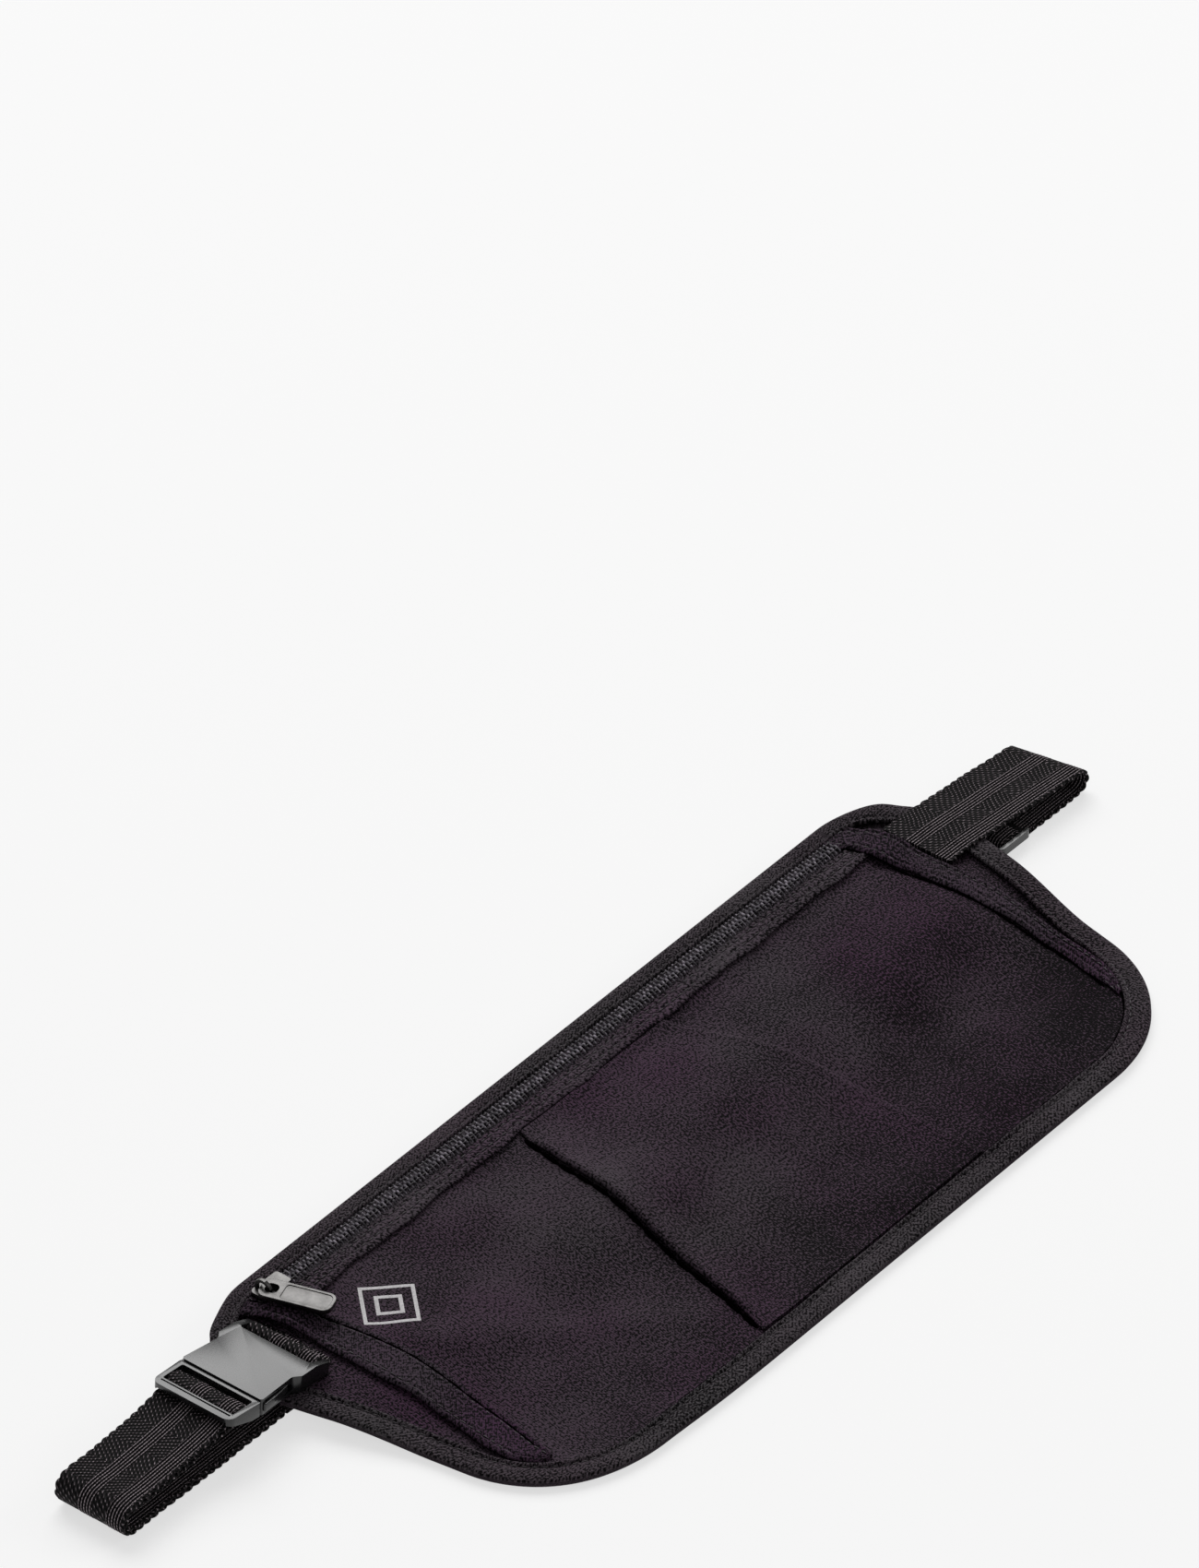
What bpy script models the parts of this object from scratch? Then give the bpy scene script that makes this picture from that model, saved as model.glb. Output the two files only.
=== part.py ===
"""Travel money belt: a flat zipped pouch on a 25 mm webbing strap with a side-release buckle.

The belt lies closed on a table, front side up. +X runs along the belt, away from the buckle,
+Y runs from the pouch's bottom edge to its zip edge, and +Z is up.
Driving dimensions are in millimetres and every mesh is written in metres.
"""

import math

import bmesh
import bpy
from mathutils import Matrix, Vector

MM = 0.001
GAP = 0.3                    # clearance between pieces that touch
CLOTH = 0.4                  # thickness of one cloth layer
FOLDED_CLOTH = 0.6           # thickness of the welt and the hem bands, which are folded double

# Pouch outline: a symmetric trapezoid with rounded corners, in the pouch's own frame.
POUCH_X = 11.05              # pouch centre from the middle of the whole belt
HALF_HEIGHT = 65.2
TOP_HALF_WIDTH = 158.5       # where the side edge meets the top edge, before rounding
BOTTOM_HALF_WIDTH = 133.0
TOP_RADIUS = 29.0
BOTTOM_RADIUS = 44.5
BINDING_WIDTH = 7.2
EDGE_INSET = 1.5             # cloth edges inside the folded binding
# The binding's C section as (inset, height, 1 if the height is above the upper flange's base).
BINDING_SECTION = ((0.9, 0.0, 0), (0.0, 0.7, 0), (0.0, -0.3, 1), (0.9, 0.4, 1), (4.2, 0.4, 1),
                   (BINDING_WIDTH, 0.4, 1), (BINDING_WIDTH, 0.0, 1), (4.2, 0.0, 1),
                   (1.2, 0.0, 1), (0.5, -0.5, 1), (0.5, 0.9, 0), (1.2, 0.4, 0), (4.2, 0.4, 0),
                   (BINDING_WIDTH, 0.4, 0), (BINDING_WIDTH, 0.0, 0), (4.2, 0.0, 0))

# The pouch lies over the strap, which lifts its upper part off the table.
PLATEAU = 4.4
PLATEAU_Y = 12.0
RAMP_WIDTH = 32.0
EAR_DROP = 1.4
EAR_DROP_X = (-127.0, -138.0)

# Heights of the layers above the pouch's underside.
BACK_BASE = 0.7
FRONT_BASE = 1.4
HEM_BASE = 2.1
TAPE_BASE = 2.3
WELT_BASE = 3.0
COIL_BASE = 3.0
COIL_HEIGHT = 1.4
SLIDER_BOTTOM = 1.4
SLIDER_TOP = 4.7
PUFF = 2.2                   # how far the pocket front bulges
PUFF_HALF_WIDTH = 114.0
PUFF_Y = (-8.0, 48.0)        # middle and half height of the bulge
WELT_RAMP = (40.0, 6.0)      # where the pocket front starts to climb to the welt, and how far it takes
FLANGE_RAMP = (51.5, 5.5)    # the same for the binding's upper flange beside the zip

# Zip.
ZIP_Y = 54.6
COIL_WIDTH = 2.0
ZIP_HALF_LENGTH = 126.0
COIL_LEFT_X = -123.9
COIL_RIGHT_X = 121.0
WELT_Y = (44.6, 50.7)
FRONT_TOP_Y = 47.0
TAPE_WIDTH = 6.2
TAPE_HALF_OPENING = 1.1
SLIDER_X = (-126.0, -115.2)
SLIDER_HALF_WIDTH = 3.1
PULLER_HINGE = (-123.6, 54.6)
PULLER_ANGLE = math.radians(16.8)
PULLER_LENGTH = 21.5
PULLER_WIDTH = 7.6
PULLER_THICKNESS = 1.5

# Centre pocket panel, at its top edge and at its bottom edge.
CENTRE_TOP = (44.3, -29.6, 33.8)
CENTRE_BOTTOM = (-57.2, -47.2, 47.2)

# Hem bands: rows of height across the pouch, outer edge and inner edge.
HEM_LEFT = [(57.6, -133.2, -126.5), (51.2, -131.2, -126.5), (47.0, -129.6, -121.5), (30.0, -128.6, -117.2),
            (0.0, -128.6, -115.4), (-25.0, -129.2, -117.2), (-50.0, -130.5, -121.8)]
HEM_RIGHT = [(57.6, 129.0, 121.6), (51.2, 132.0, 125.4), (47.0, 133.2, 126.8), (30.0, 134.4, 128.4),
             (0.0, 134.7, 128.2), (-25.0, 132.6, 127.0), (-50.0, 127.6, 121.6)]

# Webbing strap.
WEB_HALF = 12.1
WEB = 1.0
PRESSED_WEB = 0.45           # webbing pressed flat inside the adjuster
UNDER_Z = 0.5                # middle of the layer that lies on the table
RETURN_Z = 1.8               # middle of the layer above it
LEFT_FOLD = (-210.4, 37.0)   # x where the fold starts, y of its middle
RIGHT_FOLD = (187.2, 32.5)
RIGHT_FOLD_ANGLE = math.radians(9.5)
STRAP_SKEW = math.atan2(LEFT_FOLD[1] - RIGHT_FOLD[1], RIGHT_FOLD[0] - LEFT_FOLD[0])
RIGHT_SEAM = (135.2, 36.9)
LOWER_LENGTH = 18.0          # webbing between the right fold and the straight under run, which turns a little
ADJUSTER_X = 158.2
ADJUSTER_HALF_LENGTH = 6.5
ADJUSTER_HEIGHTS = (2.3, 3.9)    # top of its end bars and of its side walls
CENTRE_BAR_Z = (2.05, 2.6)
CENTRE_BAR_HALF = 1.0
ADJUSTER_SLOT = 4.6          # outer end of each slot from the middle of the frame

# Side-release buckle, in the pouch's frame.
BUCKLE_Y = 37.0
BUCKLE_HALF = 13.8
SLOT_HALF = 12.45
MOUTH_X = -162.0
FEMALE_REAR_X = -134.4
FEMALE_Z = (5.8, 11.0)
MOUTH_HALF = 14.2
WAIST_HALF = 13.1
SHOULDER_HALF = 14.8
CAVITY_Z = (6.9, 9.8)
CAVITY_HALF = 10.9
MALE_END_X = -174.8
MALE_Z = (6.0, 10.5)
ARM_ROOT = (-162.0, 8.0)
ARM_Z = (7.2, 9.5)

# The buckle is laid out level and then tilted, mouth up, about a line across it: x and z of that
# line before and after the tilt.
BUCKLE_TILT = math.radians(7.0)
TILT_FROM = (-140.4, 11.0)
TILT_TO = (-139.3, 10.9)


# ---------------------------------------------------------------- shape helpers

def smooth(t):
    """Smooth step from 0 to 1."""
    t = min(max(t, 0.0), 1.0)
    return t * t * (3.0 - 2.0 * t)


def drape(x, y):
    """Height of the pouch's underside above the table, in the pouch's frame."""
    rise = PLATEAU - EAR_DROP * smooth((EAR_DROP_X[0] - x) / (EAR_DROP_X[0] - EAR_DROP_X[1]))
    return rise * smooth((y - PLATEAU_Y + RAMP_WIDTH) / RAMP_WIDTH)


def side_normal():
    """Outward normal of the right-hand side edge."""
    slant = math.atan2(TOP_HALF_WIDTH - BOTTOM_HALF_WIDTH, 2.0 * HALF_HEIGHT)
    return math.cos(slant), -math.sin(slant), slant


def corner_centre(radius, y_centre):
    """X of the centre of a corner arc that touches the right-hand side edge."""
    nx, ny, _ = side_normal()
    reach = nx * TOP_HALF_WIDTH + ny * HALF_HEIGHT - radius
    return (reach - ny * y_centre) / nx


def half_width(y, inset):
    """Half the outline's width at a height, for an outline moved inward by inset."""
    nx, ny, slant = side_normal()
    for radius, y_centre, side in ((TOP_RADIUS, HALF_HEIGHT - TOP_RADIUS, 1.0),
                                   (BOTTOM_RADIUS, BOTTOM_RADIUS - HALF_HEIGHT, -1.0)):
        arc = radius - inset
        if (y - y_centre + arc * math.sin(slant)) * side > 0.0:
            return corner_centre(radius, y_centre) + math.sqrt(max(arc * arc - (y - y_centre) ** 2, 0.0))
    reach = nx * TOP_HALF_WIDTH + ny * HALF_HEIGHT - inset
    return (reach - ny * y) / nx


def arc_rows(top_y, bottom_y, inset):
    """Heights of the cloth rows: close together in the corners and on the ramp."""
    rows = {round(top_y, 4), round(bottom_y, 4)}
    for radius, y_centre, side in ((TOP_RADIUS, HALF_HEIGHT - TOP_RADIUS, 1.0),
                                   (BOTTOM_RADIUS, BOTTOM_RADIUS - HALF_HEIGHT, -1.0)):
        for step in range(1, 7):
            rows.add(round(y_centre + side * (radius - inset) * math.sin(math.radians(15 * step)), 4))
    rows.update(PLATEAU_Y - RAMP_WIDTH * part / 6.0 for part in range(7))
    rows.update((37.0, 40.0, 43.5, 46.0))
    inside = sorted((y for y in rows if bottom_y <= y <= top_y), reverse=True)
    kept = [inside[0]]
    for y in inside[1:-1]:
        if kept[-1] - y > 0.7 and y - inside[-1] > 0.7:
            kept.append(y)
    return kept + [inside[-1]]


def new_material(name, colour, roughness, metallic=0.0):
    material = bpy.data.materials.new(name)
    material.use_nodes = True
    shader = material.node_tree.nodes["Principled BSDF"]
    shader.inputs["Base Color"].default_value = (*colour, 1.0)
    shader.inputs["Roughness"].default_value = roughness
    shader.inputs["Metallic"].default_value = metallic
    material.diffuse_color = (*colour, 1.0)
    return material


def add_object(name, bm, material, origin=(0.0, 0.0, 0.0), parent=None, sharp_angle=40.0):
    """Write a bmesh built in millimetres in the pouch's frame, with its origin at a given point."""
    place = Vector(origin)
    bmesh.ops.recalc_face_normals(bm, faces=bm.faces)
    bmesh.ops.transform(bm, matrix=Matrix.Scale(MM, 4) @ Matrix.Translation(-place), verts=bm.verts)
    mesh = bpy.data.meshes.new(name)
    bm.to_mesh(mesh)
    bm.free()
    mesh.shade_smooth()
    mesh.set_sharp_from_angle(angle=math.radians(sharp_angle))
    if material is not None:
        mesh.materials.append(material)
    obj = bpy.data.objects.new(name, mesh)
    bpy.context.scene.collection.objects.link(obj)
    obj.location = (place + Vector((POUCH_X, 0.0, 0.0))) * MM
    if parent is not None:
        obj.parent = parent
        obj.matrix_parent_inverse = parent.matrix_basis.inverted()
    return obj


def add_empty(name, origin, parent=None):
    """An empty on a joint's axis, which the moving piece hangs from."""
    empty = bpy.data.objects.new(name, None)
    bpy.context.scene.collection.objects.link(empty)
    empty.location = (Vector(origin) + Vector((POUCH_X, 0.0, 0.0))) * MM
    if parent is not None:
        empty.parent = parent
        empty.matrix_parent_inverse = parent.matrix_basis.inverted()
    return empty


def solid_from_grids(top, bottom):
    """Closed solid between two grids of points of the same size."""
    bm = bmesh.new()
    upper = [[bm.verts.new(p) for p in row] for row in top]
    lower = [[bm.verts.new(p) for p in row] for row in bottom]
    rows, columns = len(top), len(top[0])
    for i in range(rows - 1):
        for j in range(columns - 1):
            bm.faces.new((upper[i][j], upper[i][j + 1], upper[i + 1][j + 1], upper[i + 1][j]))
            bm.faces.new((lower[i][j], lower[i + 1][j], lower[i + 1][j + 1], lower[i][j + 1]))
    border = [(0, j) for j in range(columns)] + [(i, columns - 1) for i in range(1, rows)]
    border += [(rows - 1, j) for j in range(columns - 2, -1, -1)] + [(i, 0) for i in range(rows - 2, 0, -1)]
    for (i, j), (k, m) in zip(border, border[1:] + border[:1]):
        bm.faces.new((upper[i][j], lower[i][j], lower[k][m], upper[k][m]))
    return bm


def cloth_solid(rows, extents, fractions, base, thickness=CLOTH):
    """Cloth panel: rows of points between the left and right extents, lying over the strap."""
    top, bottom = [], []
    for y in rows:
        left, right = extents(y)
        points = [(left + (right - left) * f, y) for f in fractions]
        bottom.append([(x, y, drape(x, y) + base(x, y)) for x, y in points])
        top.append([(x, y, z + thickness) for x, y, z in bottom[-1]])
    return solid_from_grids(top, bottom)


def ribbon_solid(centreline, half, thickness, angles=(0.0, 0.0)):
    """Webbing along a centreline of (x, y, z) points, with its cross direction turned in the plan view."""
    top, bottom = [], []
    count = len(centreline)
    for i, (x, y, z) in enumerate(centreline):
        before = centreline[max(i - 1, 0)]
        after = centreline[min(i + 1, count - 1)]
        run, climb = after[0] - before[0], after[2] - before[2]
        length = math.hypot(run, climb)
        normal = (-climb / length * thickness / 2.0, run / length * thickness / 2.0)
        turn = angles[0] + (angles[1] - angles[0]) * i / (count - 1)
        cross = (-math.sin(turn) * half, math.cos(turn) * half)
        for grid, side in ((top, 1.0), (bottom, -1.0)):
            px, pz = x + side * normal[0], z + side * normal[1]
            grid.append([(px + s * cross[0], y + s * cross[1], pz) for s in (-1.0, 1.0)])
    return solid_from_grids(top, bottom)


def half_turn(x, y, low, high, side, steps=10):
    """Centreline points of a fold: half a circle from the high run round to the low run."""
    middle, radius = (low + high) / 2.0, (high - low) / 2.0
    angles = [math.pi * (0.5 - i / steps) for i in range(steps + 1)]
    return [(x + side * radius * math.cos(a), y, middle + radius * math.sin(a)) for a in angles]


def round_outline(corners, steps=4):
    """Closed outline through corners given as (x, y, radius), each rounded by an arc."""
    points = []
    for i, (x, y, radius) in enumerate(corners):
        here = Vector((x, y))
        to_last = (Vector(corners[i - 1][:2]) - here).normalized()
        to_next = (Vector(corners[(i + 1) % len(corners)][:2]) - here).normalized()
        if radius <= 0.0:
            points.append((x, y))
            continue
        half_angle = to_last.angle(to_next) / 2.0
        start = here + to_last * radius / math.tan(half_angle)
        end = here + to_next * radius / math.tan(half_angle)
        centre = here + (to_last + to_next).normalized() * radius / math.sin(half_angle)
        first, last = start - centre, end - centre
        turn = first.angle_signed(last)
        for step in range(steps + 1):
            a = -turn * step / steps
            points.append((centre.x + first.x * math.cos(a) - first.y * math.sin(a),
                           centre.y + first.x * math.sin(a) + first.y * math.cos(a)))
    return points


def extruded(outline, low, high, axis="Z"):
    """Prism over an outline, along Z, or along Y with the outline given as (x, z)."""
    bm = bmesh.new()
    place = {"Z": lambda u, v, w: (u, v, w), "Y": lambda u, v, w: (u, w, v)}[axis]
    lower = [bm.verts.new(place(u, v, low)) for u, v in outline]
    upper = [bm.verts.new(place(u, v, high)) for u, v in outline]
    bm.faces.new(lower)
    bm.faces.new(list(reversed(upper)))
    for i in range(len(outline)):
        j = (i + 1) % len(outline)
        bm.faces.new((lower[i], upper[i], upper[j], lower[j]))
    return bm


def box(x, y, z):
    """Box from pairs of limits."""
    return extruded([(x[0], y[0]), (x[1], y[0]), (x[1], y[1]), (x[0], y[1])], z[0], z[1])


def combine(target, tools, operation, parent=None):
    """Cut or join a target with tool shapes, each an EXACT Boolean on a hidden tool object."""
    for index, bm in enumerate(tools):
        tool = add_object(f"{target.name}_{operation.lower()}_{index}", bm, None, parent=parent)
        tool.hide_render = True
        tool.display_type = "WIRE"
        modifier = target.modifiers.new(f"{operation.title()} {index}", "BOOLEAN")
        modifier.operation = operation
        modifier.object = tool


# ---------------------------------------------------------------- pouch

def front_base(x, y):
    """Height of the pocket front above the pouch's underside: flat at its edges, bulging inside."""
    to_welt = (TAPE_BASE - FRONT_BASE) * smooth((y - WELT_RAMP[0]) / WELT_RAMP[1])
    across = max(0.0, 1.0 - (x / PUFF_HALF_WIDTH) ** 2)
    along = max(0.0, 1.0 - ((y - PUFF_Y[0]) / PUFF_Y[1]) ** 2)
    return FRONT_BASE + to_welt + PUFF * across * along


def flange_base(y):
    """Height of the binding's upper flange, which also clears the zip tape along the top edge."""
    return HEM_BASE + (WELT_BASE - HEM_BASE) * smooth((y - FLANGE_RAMP[0]) / FLANGE_RAMP[1])


def hem_base(y):
    """Height of a hem band: it climbs over the end of the welt and comes down onto the zip tape."""
    over_welt = WELT_BASE + FOLDED_CLOTH + GAP
    rise = (over_welt - HEM_BASE) * smooth((y - 34.0) / 9.5)
    fall = (over_welt - WELT_BASE) * smooth((y - 51.2) / 1.4)
    return HEM_BASE + rise - fall


def guide_value(guide, y, column):
    """Value of a guide table's column at a height, in straight lines between its rows."""
    for upper, lower in zip(guide, guide[1:]):
        if y >= lower[0]:
            part = (upper[0] - y) / (upper[0] - lower[0])
            return upper[column] + (lower[column] - upper[column]) * part
    return guide[-1][column]


def make_panels(cloth):
    even = [i / 14.0 for i in range(15)]
    ear = [0.115 * i / 8.0 for i in range(9)] + [0.115 + 0.885 * i / 6.0 for i in range(1, 7)]
    edge = HALF_HEIGHT - EDGE_INSET

    def back_extents(y):
        reach = half_width(y, EDGE_INSET)
        return -reach, reach

    add_object("back_panel", cloth_solid(arc_rows(edge, -edge, EDGE_INSET), back_extents, ear,
                                         lambda x, y: BACK_BASE), cloth)

    def front_extents(y):
        reach = half_width(y, EDGE_INSET)
        left, right = guide_value(HEM_LEFT, y, 1) + 0.6, guide_value(HEM_RIGHT, y, 1) - 0.6
        return max(-reach, left), min(reach, right)

    add_object("front_panel", cloth_solid(arc_rows(FRONT_TOP_Y, -edge, EDGE_INSET), front_extents, even,
                                          front_base), cloth)

    def centre_extents(y):
        part = (CENTRE_TOP[0] - y) / (CENTRE_TOP[0] - CENTRE_BOTTOM[0])
        return tuple(CENTRE_TOP[k] + (CENTRE_BOTTOM[k] - CENTRE_TOP[k]) * part for k in (1, 2))

    def centre_base(x, y):
        return front_base(x, y) + CLOTH + GAP + 0.1

    rows = arc_rows(CENTRE_TOP[0], CENTRE_BOTTOM[0], EDGE_INSET)
    sixths = [i / 6.0 for i in range(7)]
    add_object("centre_panel", cloth_solid(rows, centre_extents, sixths, centre_base), cloth)


def outline_samples():
    """Right half of the outline as (x, y, radius, outward angle) of corner centres and plain points."""
    _, _, slant = side_normal()
    samples = []
    top_y, bottom_y = HALF_HEIGHT - TOP_RADIUS, BOTTOM_RADIUS - HALF_HEIGHT
    top_x, bottom_x = corner_centre(TOP_RADIUS, top_y), corner_centre(BOTTOM_RADIUS, bottom_y)
    for step in range(13):
        angle = math.radians(90.0) - (math.radians(90.0) + slant) * step / 12.0
        samples.append((top_x, top_y, TOP_RADIUS, angle))
    side_start = top_y - TOP_RADIUS * math.sin(slant)
    side_end = bottom_y - BOTTOM_RADIUS * math.sin(slant)
    for part in range(7):
        y = PLATEAU_Y - RAMP_WIDTH * part / 6.0
        if side_end + 1.0 < y < side_start - 1.0:
            samples.append((half_width(y, 0.0), y, 0.0, -slant))
    for step in range(9):
        angle = -slant - (math.radians(90.0) - slant) * step / 8.0
        samples.append((bottom_x, bottom_y, BOTTOM_RADIUS, angle))
    return samples


def make_binding(tape):
    """Folded tape round the whole edge: a C section swept round the outline."""
    right = outline_samples()
    left = [(-x, y, radius, math.pi - angle) for x, y, radius, angle in reversed(right)]
    bm = bmesh.new()
    rings = []
    for x, y, radius, angle in right + left:
        ring = []
        for inset, level, flange in BINDING_SECTION:
            px = x + (radius - inset) * math.cos(angle)
            py = y + (radius - inset) * math.sin(angle)
            height = level + flange * flange_base(py)
            ring.append(bm.verts.new((px, py, drape(px, py) + height)))
        rings.append(ring)
    for ring, following in zip(rings, rings[1:] + rings[:1]):
        for j in range(len(ring)):
            k = (j + 1) % len(ring)
            bm.faces.new((ring[j], ring[k], following[k], following[j]))
    add_object("edge_binding", bm, tape)


def make_hems(cloth):
    rows = [57.6, 54.5, 52.6, 51.9, 51.2, 47.0, 43.5, 41.5, 39.0, 36.5, 34.0, 24.0, 12.0, 6.7, 1.3, -4.0,
            -9.3, -14.7, -20.0, -30.0, -38.0, -44.0]
    across = [0.0, 0.35, 0.7, 1.0]
    for name, guide, side in (("hem_band_left", HEM_LEFT, -1.0), ("hem_band_right", HEM_RIGHT, 1.0)):

        def extents(y, guide=guide, side=side):
            outer = side * min(abs(guide_value(guide, y, 1)), half_width(y, BINDING_WIDTH + GAP))
            return outer, guide_value(guide, y, 2)

        band = cloth_solid(rows, extents, across, lambda x, y: hem_base(y), FOLDED_CLOTH)
        add_object(name, band, cloth)


def make_zip(cloth, nylon):
    def flat_strip(name, x, y, base, thickness, material):
        fractions = [i / 4.0 for i in range(5)]
        add_object(name, cloth_solid(list(y), lambda _: x, fractions, lambda *_: base, thickness), material)

    whole = (-ZIP_HALF_LENGTH, ZIP_HALF_LENGTH)
    flat_strip("zip_welt", whole, (WELT_Y[1], WELT_Y[0]), WELT_BASE, FOLDED_CLOTH, cloth)
    upper_edge = ZIP_Y + TAPE_HALF_OPENING
    lower_edge = ZIP_Y - TAPE_HALF_OPENING
    flat_strip("zip_tape_upper", whole, (upper_edge + TAPE_WIDTH, upper_edge), TAPE_BASE, CLOTH, nylon)
    flat_strip("zip_tape_lower", whole, (lower_edge, lower_edge - TAPE_WIDTH), TAPE_BASE, CLOTH, nylon)
    low = PLATEAU + COIL_BASE
    for name, side in (("zip_coil_upper", 1.0), ("zip_coil_lower", -1.0)):
        near, far = ZIP_Y + side * GAP / 2.0, ZIP_Y + side * (GAP / 2.0 + COIL_WIDTH)
        middle = (near + far) / 2.0
        section = [(middle + 0.5 * COIL_WIDTH * math.cos(a), low + 0.5 * COIL_HEIGHT * (1.0 + math.sin(a)))
                   for a in (math.tau * i / 12.0 for i in range(12))]
        bm = bmesh.new()
        ends = [[bm.verts.new((x, y, z)) for y, z in section] for x in (COIL_LEFT_X, COIL_RIGHT_X)]
        bm.faces.new(ends[0])
        bm.faces.new(list(reversed(ends[1])))
        for i in range(len(section)):
            j = (i + 1) % len(section)
            bm.faces.new((ends[0][i], ends[1][i], ends[1][j], ends[0][j]))
        add_object(name, bm, nylon)


def make_slider(metal):
    """Slider: two plates joined by the wedge at its leading end, with channels for coil and tape."""
    floor, roof = PLATEAU + SLIDER_BOTTOM, PLATEAU + SLIDER_TOP
    plate = (0.6, 0.8)
    lead, tail = SLIDER_X
    carrier = add_empty("zip_slider", ((lead + tail) / 2.0, ZIP_Y, floor))
    wide, narrow = SLIDER_HALF_WIDTH, SLIDER_HALF_WIDTH - 0.3
    outline = round_outline([(lead, ZIP_Y - wide, 1.4), (tail, ZIP_Y - narrow, 0.8),
                             (tail, ZIP_Y + narrow, 0.8), (lead, ZIP_Y + wide, 1.4)], 3)
    body = add_object("slider_body", extruded(outline, floor, roof + plate[1]), metal,
                      ((lead + tail) / 2.0, ZIP_Y, floor), carrier)
    wedge_end, wedge_half, channel = lead + 1.5, 0.8, 2.45
    beyond = tail + 5.0
    channel_z = (floor + plate[0], roof)
    tape_z = (floor + plate[0], PLATEAU + TAPE_BASE + CLOTH + GAP)
    cuts = [box((wedge_end, beyond), (ZIP_Y - channel, ZIP_Y + channel), channel_z)]
    for side in (1.0, -1.0):
        y_slot = sorted((ZIP_Y + side * wedge_half, ZIP_Y + side * 5.0))
        y_guide = sorted((ZIP_Y + side * wedge_half, ZIP_Y + side * channel))
        cuts.append(box((lead - 1.0, beyond), y_slot, tape_z))
        cuts.append(box((lead - 1.0, wedge_end + 0.5), y_guide, channel_z))
    combine(body, cuts, "DIFFERENCE")

    hinge_z = roof + plate[1] + GAP + PULLER_THICKNESS / 2.0
    inner, outer, foot = 1.9, 2.9, roof + plate[1] + 0.02
    arch = [math.pi * i / 10.0 for i in range(11)]
    profile = [(outer * math.cos(a), hinge_z + outer * math.sin(a)) for a in arch]
    profile += [(-outer, foot), (-inner, foot)]
    profile += [(inner * math.cos(a), hinge_z + inner * math.sin(a)) for a in reversed(arch)]
    profile += [(inner, foot), (outer, foot)]
    bm = bmesh.new()
    half = 0.5
    ends = [[bm.verts.new((PULLER_HINGE[0] + s * half, PULLER_HINGE[1] + y, z)) for y, z in profile]
            for s in (-1.0, 1.0)]
    bm.faces.new(ends[0])
    bm.faces.new(list(reversed(ends[1])))
    for i in range(len(profile)):
        j = (i + 1) % len(profile)
        bm.faces.new((ends[0][i], ends[1][i], ends[1][j], ends[0][j]))
    add_object("slider_bail", bm, metal, (*PULLER_HINGE, hinge_z), carrier)
    return carrier, hinge_z


def make_puller(metal, carrier, hinge_z):
    """Flat pull tab with a ring hole round the bail; its own Y axis points from the free end to the ring."""
    hinge = (*PULLER_HINGE, hinge_z)
    half, end = PULLER_WIDTH / 2.0, 0.75
    low, high = hinge_z - PULLER_THICKNESS / 2.0, hinge_z + PULLER_THICKNESS / 2.0
    free = end - PULLER_LENGTH
    hx, hy = PULLER_HINGE
    outline = round_outline([(hx - half, hy + free, 2.6), (hx + half, hy + free, 2.6),
                             (hx + half, hy + end, 2.4), (hx - half, hy + end, 2.4)], 5)
    puller = add_object("zip_puller", extruded(outline, low, high), metal, hinge, carrier)
    hole = round_outline([(hx - 1.8, hy - 4.4, 1.2), (hx + 1.8, hy - 4.4, 1.2), (hx + 1.8, hy - 0.65, 1.0),
                          (hx - 1.8, hy - 0.65, 1.0)], 4)
    ring = add_object("zip_puller_hole", extruded(hole, low - 1.0, high + 1.0), None, hinge, puller)
    ring.hide_render = True
    ring.display_type = "WIRE"
    cut = puller.modifiers.new("Ring hole", "BOOLEAN")
    cut.operation = "DIFFERENCE"
    cut.object = ring
    puller.rotation_euler.z = PULLER_ANGLE


# ---------------------------------------------------------------- webbing

def strap_y(x):
    """Middle of the layers under the pouch, which run slightly askew from fold to fold."""
    return RIGHT_FOLD[1] + (RIGHT_FOLD[0] - x) * math.tan(STRAP_SKEW)


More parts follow.
